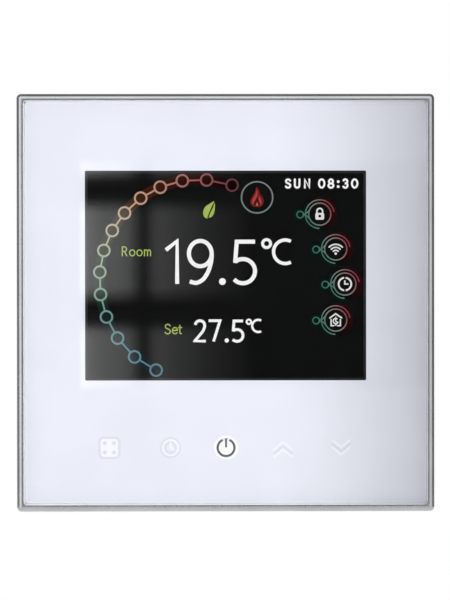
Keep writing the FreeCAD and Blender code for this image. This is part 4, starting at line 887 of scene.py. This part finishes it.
shown("mark_rings", ring_shapes, lit_rings("ring_pixels", MARKS.values(), RING_COLOURS))
shown_under("mark_glow", halo_shapes, lit_rings("ring_glow_pixels", MARKS.values(), RING_HALO))


def at(name, x, z):
    return (MARKS[name][0] + x, MARKS[name][1] + z)


shackle = arc(at("lock", 0, 0.6), 0.58, 170, 10, 10)
shackle = [at("lock", -0.58, 0.2), at("lock", -0.58, 0.6), *shackle, at("lock", 0.58, 0.2)]
lock = [[rounded(at("lock", 0, -0.45), 1.8, 1.4, 0.3)], stroke(shackle, 0.32)]
wifi = [stroke(arc(at("link", 0, -0.95), r, 135, 45, 14), 0.31) for r in (1.9, 1.28, 0.68)]
wifi.append(dot(at("link", 0, -0.95), 0.26))
half_turns = [arc(MARKS["timer"], 1.3, start, start + 166, 24) for start in (97, 277)]
clock = [stroke(line, 0.36, round_ends=False) for line in half_turns]
clock.append(stroke([at("timer", -0.02, 0.62), at("timer", -0.02, 0.0), at("timer", 0.6, 0.0)], 0.3))
house = [
    stroke([at("home", -1.2, 0.45), at("home", 0, 1.3), at("home", 1.2, 0.45)], 0.3),
    stroke([at("home", -0.95, 0.1), at("home", -0.95, -1.15), at("home", -0.4, -1.15)], 0.28),
    stroke([at("home", 0.95, 0.1), at("home", 0.95, -1.15), at("home", 0.4, -1.15)], 0.28),
    stroke(arc(at("home", 0, -0.2), 0.52, 60, 330, 20), 0.26),
    stroke([at("home", 0, 0.55), at("home", 0, -0.2), at("home", 0.4, -0.5)], 0.24),
    dot(at("home", 0, -0.95), 0.2),
]
shown("status_marks", lock + wifi + clock + house, lit("status_pixels", (0.78, 0.78, 0.77)))
shown("lock_keyhole", [dot(at("lock", 0, -0.4), 0.3)], lit("dark_pixels", (0.004, 0.004, 0.004)), OVER)

# ---------------------------------------------------------------- floor, light and camera

# Lengths and places from here on are in metres.
FLOOR_DROP, FLOOR_RADIUS, FLOOR_STEPS = 0.28, 1.35, 96
floor_mesh = bpy.data.meshes.new("floor")
floor_rim = [(x, y, -FLOOR_DROP) for x, y in arc((0, 0), FLOOR_RADIUS, 0, 360, FLOOR_STEPS)[:-1]]
floor_mesh.from_pydata(floor_rim, [], [tuple(range(FLOOR_STEPS))])
floor = bpy.data.objects.new("floor", floor_mesh)
bpy.context.scene.collection.objects.link(floor)
floor_mesh.materials.append(printed_ink("floor_paper", (0.86, 0.86, 0.86), 0.8, 0.01))

CAMERA_AT = (-0.0056, -0.6136, 0.0068)
CAMERA_TURN = (89.405, 0.061, -0.522)
CAMERA_LENS = 175.0

# Brightness of the surroundings by angle from the direction the front faces, in degrees.
SKY = (
    (0, 0.02), (9, 0.02), (13, 1.0), (34, 1.0), (48, 0.3),
    (60, 0.1), (100, 0.1), (125, 0.25), (150, 0.6), (180, 0.7),
)
# A gap this far round the direction the front faces holds the window that the display mirrors.
GAP_DEGREES = 9
SKY_GAIN, PANE_GAIN, PLAIN_LEVEL = 1.1, 1.82, 0.2
# Brightness of that window, by the place on the front that mirrors it, in millimetres.
PANE_COLUMNS = (
    (-28.8, 1.0), (-27.2, 0.82), (-24.7, 0.63), (-22.2, 0.58), (-19.7, 0.41), (-18.9, 0.265),
    (-18.1, 0.17), (-17.3, 0.07), (-16.4, 0.065), (-15.6, 0.135), (-14.8, 0.215), (-13.9, 0.27),
    (-12.7, 0.28), (-9.8, 0.196), (-6.5, 0.145), (-4.9, 0.105), (-0.7, 0.06), (3.0, 0.028), (5.2, 0.0),
)
PANE_ROWS = (
    (-7.5, 0.91), (-6.6, 0.86), (-5.8, 0.68), (-5.0, 0.36), (-4.2, 0.14), (-3.3, 0.03), (-0.8, 0.0),
    (0.0, 0.07), (0.8, 0.24), (1.6, 0.44), (2.4, 0.7), (3.3, 0.94), (10.7, 1.0), (18.2, 0.95),
    (19.0, 0.73), (19.8, 0.49), (20.6, 0.23), (21.5, 0.05), (23.1, 0.0), (24.8, 0.05), (25.6, 0.22),
    (26.4, 0.56), (27.2, 0.8),
)
PANE_REACH = 30.0
# Where the window's part of the gap fades in, in millimetres; outside it the gap is at PLAIN_LEVEL.
PANE_LEFT, PANE_FOOT, PANE_HEAD = (-30.5, -29.2), (-18.5, -16.5), (30.0, 28.0)


def studio():
    """Soft light all round.

    The camera sees a white backdrop. Everything else sees a bright ring in front, with a dark gap
    in the middle where a faint window shows in the glass.
    """
    world = bpy.data.worlds.new("studio")
    bpy.context.scene.world = world
    world.use_nodes = True
    f = Nodes(world.node_tree)
    split = f.node("ShaderNodeSeparateXYZ")
    f.feed(split.inputs[0], f.node("ShaderNodeTexCoord").outputs["Generated"])
    x, y, z = split.outputs
    forward = f.maths("MULTIPLY", y, -1.0)
    angle = f.maths("DIVIDE", f.maths("ARCCOSINE", forward), math.pi)
    light = f.ramp(angle, [(degrees / 180, (level, level, level)) for degrees, level in SKY])
    side = f.spread(x, 1.18, 0.8, -0.9, 0.9)
    top = f.spread(z, 0.85, 1.15, -0.9, 0.9)
    level = f.maths("MULTIPLY", f.maths("MULTIPLY", light, side), top)
    ahead = f.maths("MAXIMUM", forward, 0.05)
    throw = glass_front - CAMERA_AT[1] / MM

    def mirrored(way, start, table):
        """The place on the front that mirrors a direction, and the window's brightness there."""
        place = f.maths("MULTIPLY_ADD", f.maths("DIVIDE", way, ahead), throw, start / MM)
        stops = [(0.5 + mm / (2 * PANE_REACH), (c, c, c)) for mm, c in table]
        return place, f.ramp(f.maths("MULTIPLY_ADD", place, 0.5 / PANE_REACH, 0.5), stops)

    across, columns = mirrored(x, CAMERA_AT[0], PANE_COLUMNS)
    height, rows = mirrored(z, CAMERA_AT[2], PANE_ROWS)
    framed = f.spread(across, 0, 1, *PANE_LEFT)
    for fade in (PANE_FOOT, PANE_HEAD):
        framed = f.maths("MULTIPLY", framed, f.spread(height, 0, 1, *fade))
    panes = f.maths("MULTIPLY", columns, rows)
    panes = f.maths("MULTIPLY_ADD", framed, f.maths("SUBTRACT", panes, PLAIN_LEVEL), PLAIN_LEVEL)
    panes = f.maths("MULTIPLY", panes, f.maths("LESS_THAN", angle, GAP_DEGREES / 180))
    level = f.maths("MULTIPLY_ADD", level, SKY_GAIN, f.maths("MULTIPLY", panes, PANE_GAIN))
    lamp = f.node("ShaderNodeBackground")
    f.feed(lamp.inputs["Color"], (0.985, 0.99, 1.0))
    f.feed(lamp.inputs["Strength"], level)
    white = f.node("ShaderNodeBackground")
    f.feed(white.inputs["Color"], (1.0, 1.0, 1.0))
    f.feed(white.inputs["Strength"], 1.0)
    choice = f.node("ShaderNodeMixShader")
    f.feed(choice.inputs[0], f.node("ShaderNodeLightPath").outputs["Is Camera Ray"])
    f.feed(choice.inputs[1], lamp.outputs[0])
    f.feed(choice.inputs[2], white.outputs[0])
    f.feed(f.node("ShaderNodeOutputWorld").inputs["Surface"], choice.outputs[0])


studio()


def panel(name, at, aim, size, energy, spread=180.0):
    """A soft panel of light that shows in no mirror; size in metres, spread in degrees."""
    data = bpy.data.lights.new(name, "AREA")
    data.shape = "RECTANGLE"
    data.size = data.size_y = size
    data.spread = math.radians(spread)
    data.energy = energy
    made = bpy.data.objects.new(name, data)
    bpy.context.scene.collection.objects.link(made)
    made.location = at
    made.rotation_euler = (Vector(aim) - Vector(at)).to_track_quat("-Z", "Y").to_euler()
    made.visible_camera = made.visible_glossy = made.visible_transmission = False


# The key panel is nearly parallel light that fades past KEY_EDGE, near the front's right-hand side.
KEY_RISE, KEY_REACH, KEY_EDGE, KEY_SIZE = math.radians(12), 0.9, 0.029, 0.5
key_x = KEY_EDGE - KEY_SIZE / 2
key_at = (key_x, -KEY_REACH * math.cos(KEY_RISE), KEY_REACH * math.sin(KEY_RISE))
ORIGIN = (0, 0, 0)
panel("key_panel", key_at, (key_x, 0, 0), KEY_SIZE, 0.36, 3.0)
panel("top_panel", (0, 0, 1.5), ORIGIN, 1.6, 9.0)
for side in (-1, 1):
    panel(f"side_panel_{side + 2}", (side * 1.3, -0.45, 0.3), ORIGIN, 0.8, 2.5)
    panel(f"rear_panel_{side + 2}", (side * 1.0, 1.3, 0.6), ORIGIN, 0.9, 10.0)

camera_data = bpy.data.cameras.new("camera")
camera_data.lens = CAMERA_LENS
camera_data.sensor_width = 36.0
camera_data.clip_start, camera_data.clip_end = 0.01, 20.0
camera = bpy.data.objects.new("camera", camera_data)
bpy.context.scene.collection.objects.link(camera)
camera.location = CAMERA_AT
camera.rotation_euler = [math.radians(t) for t in CAMERA_TURN]
bpy.context.scene.camera = camera
bpy.context.scene.view_settings.view_transform = "Standard"
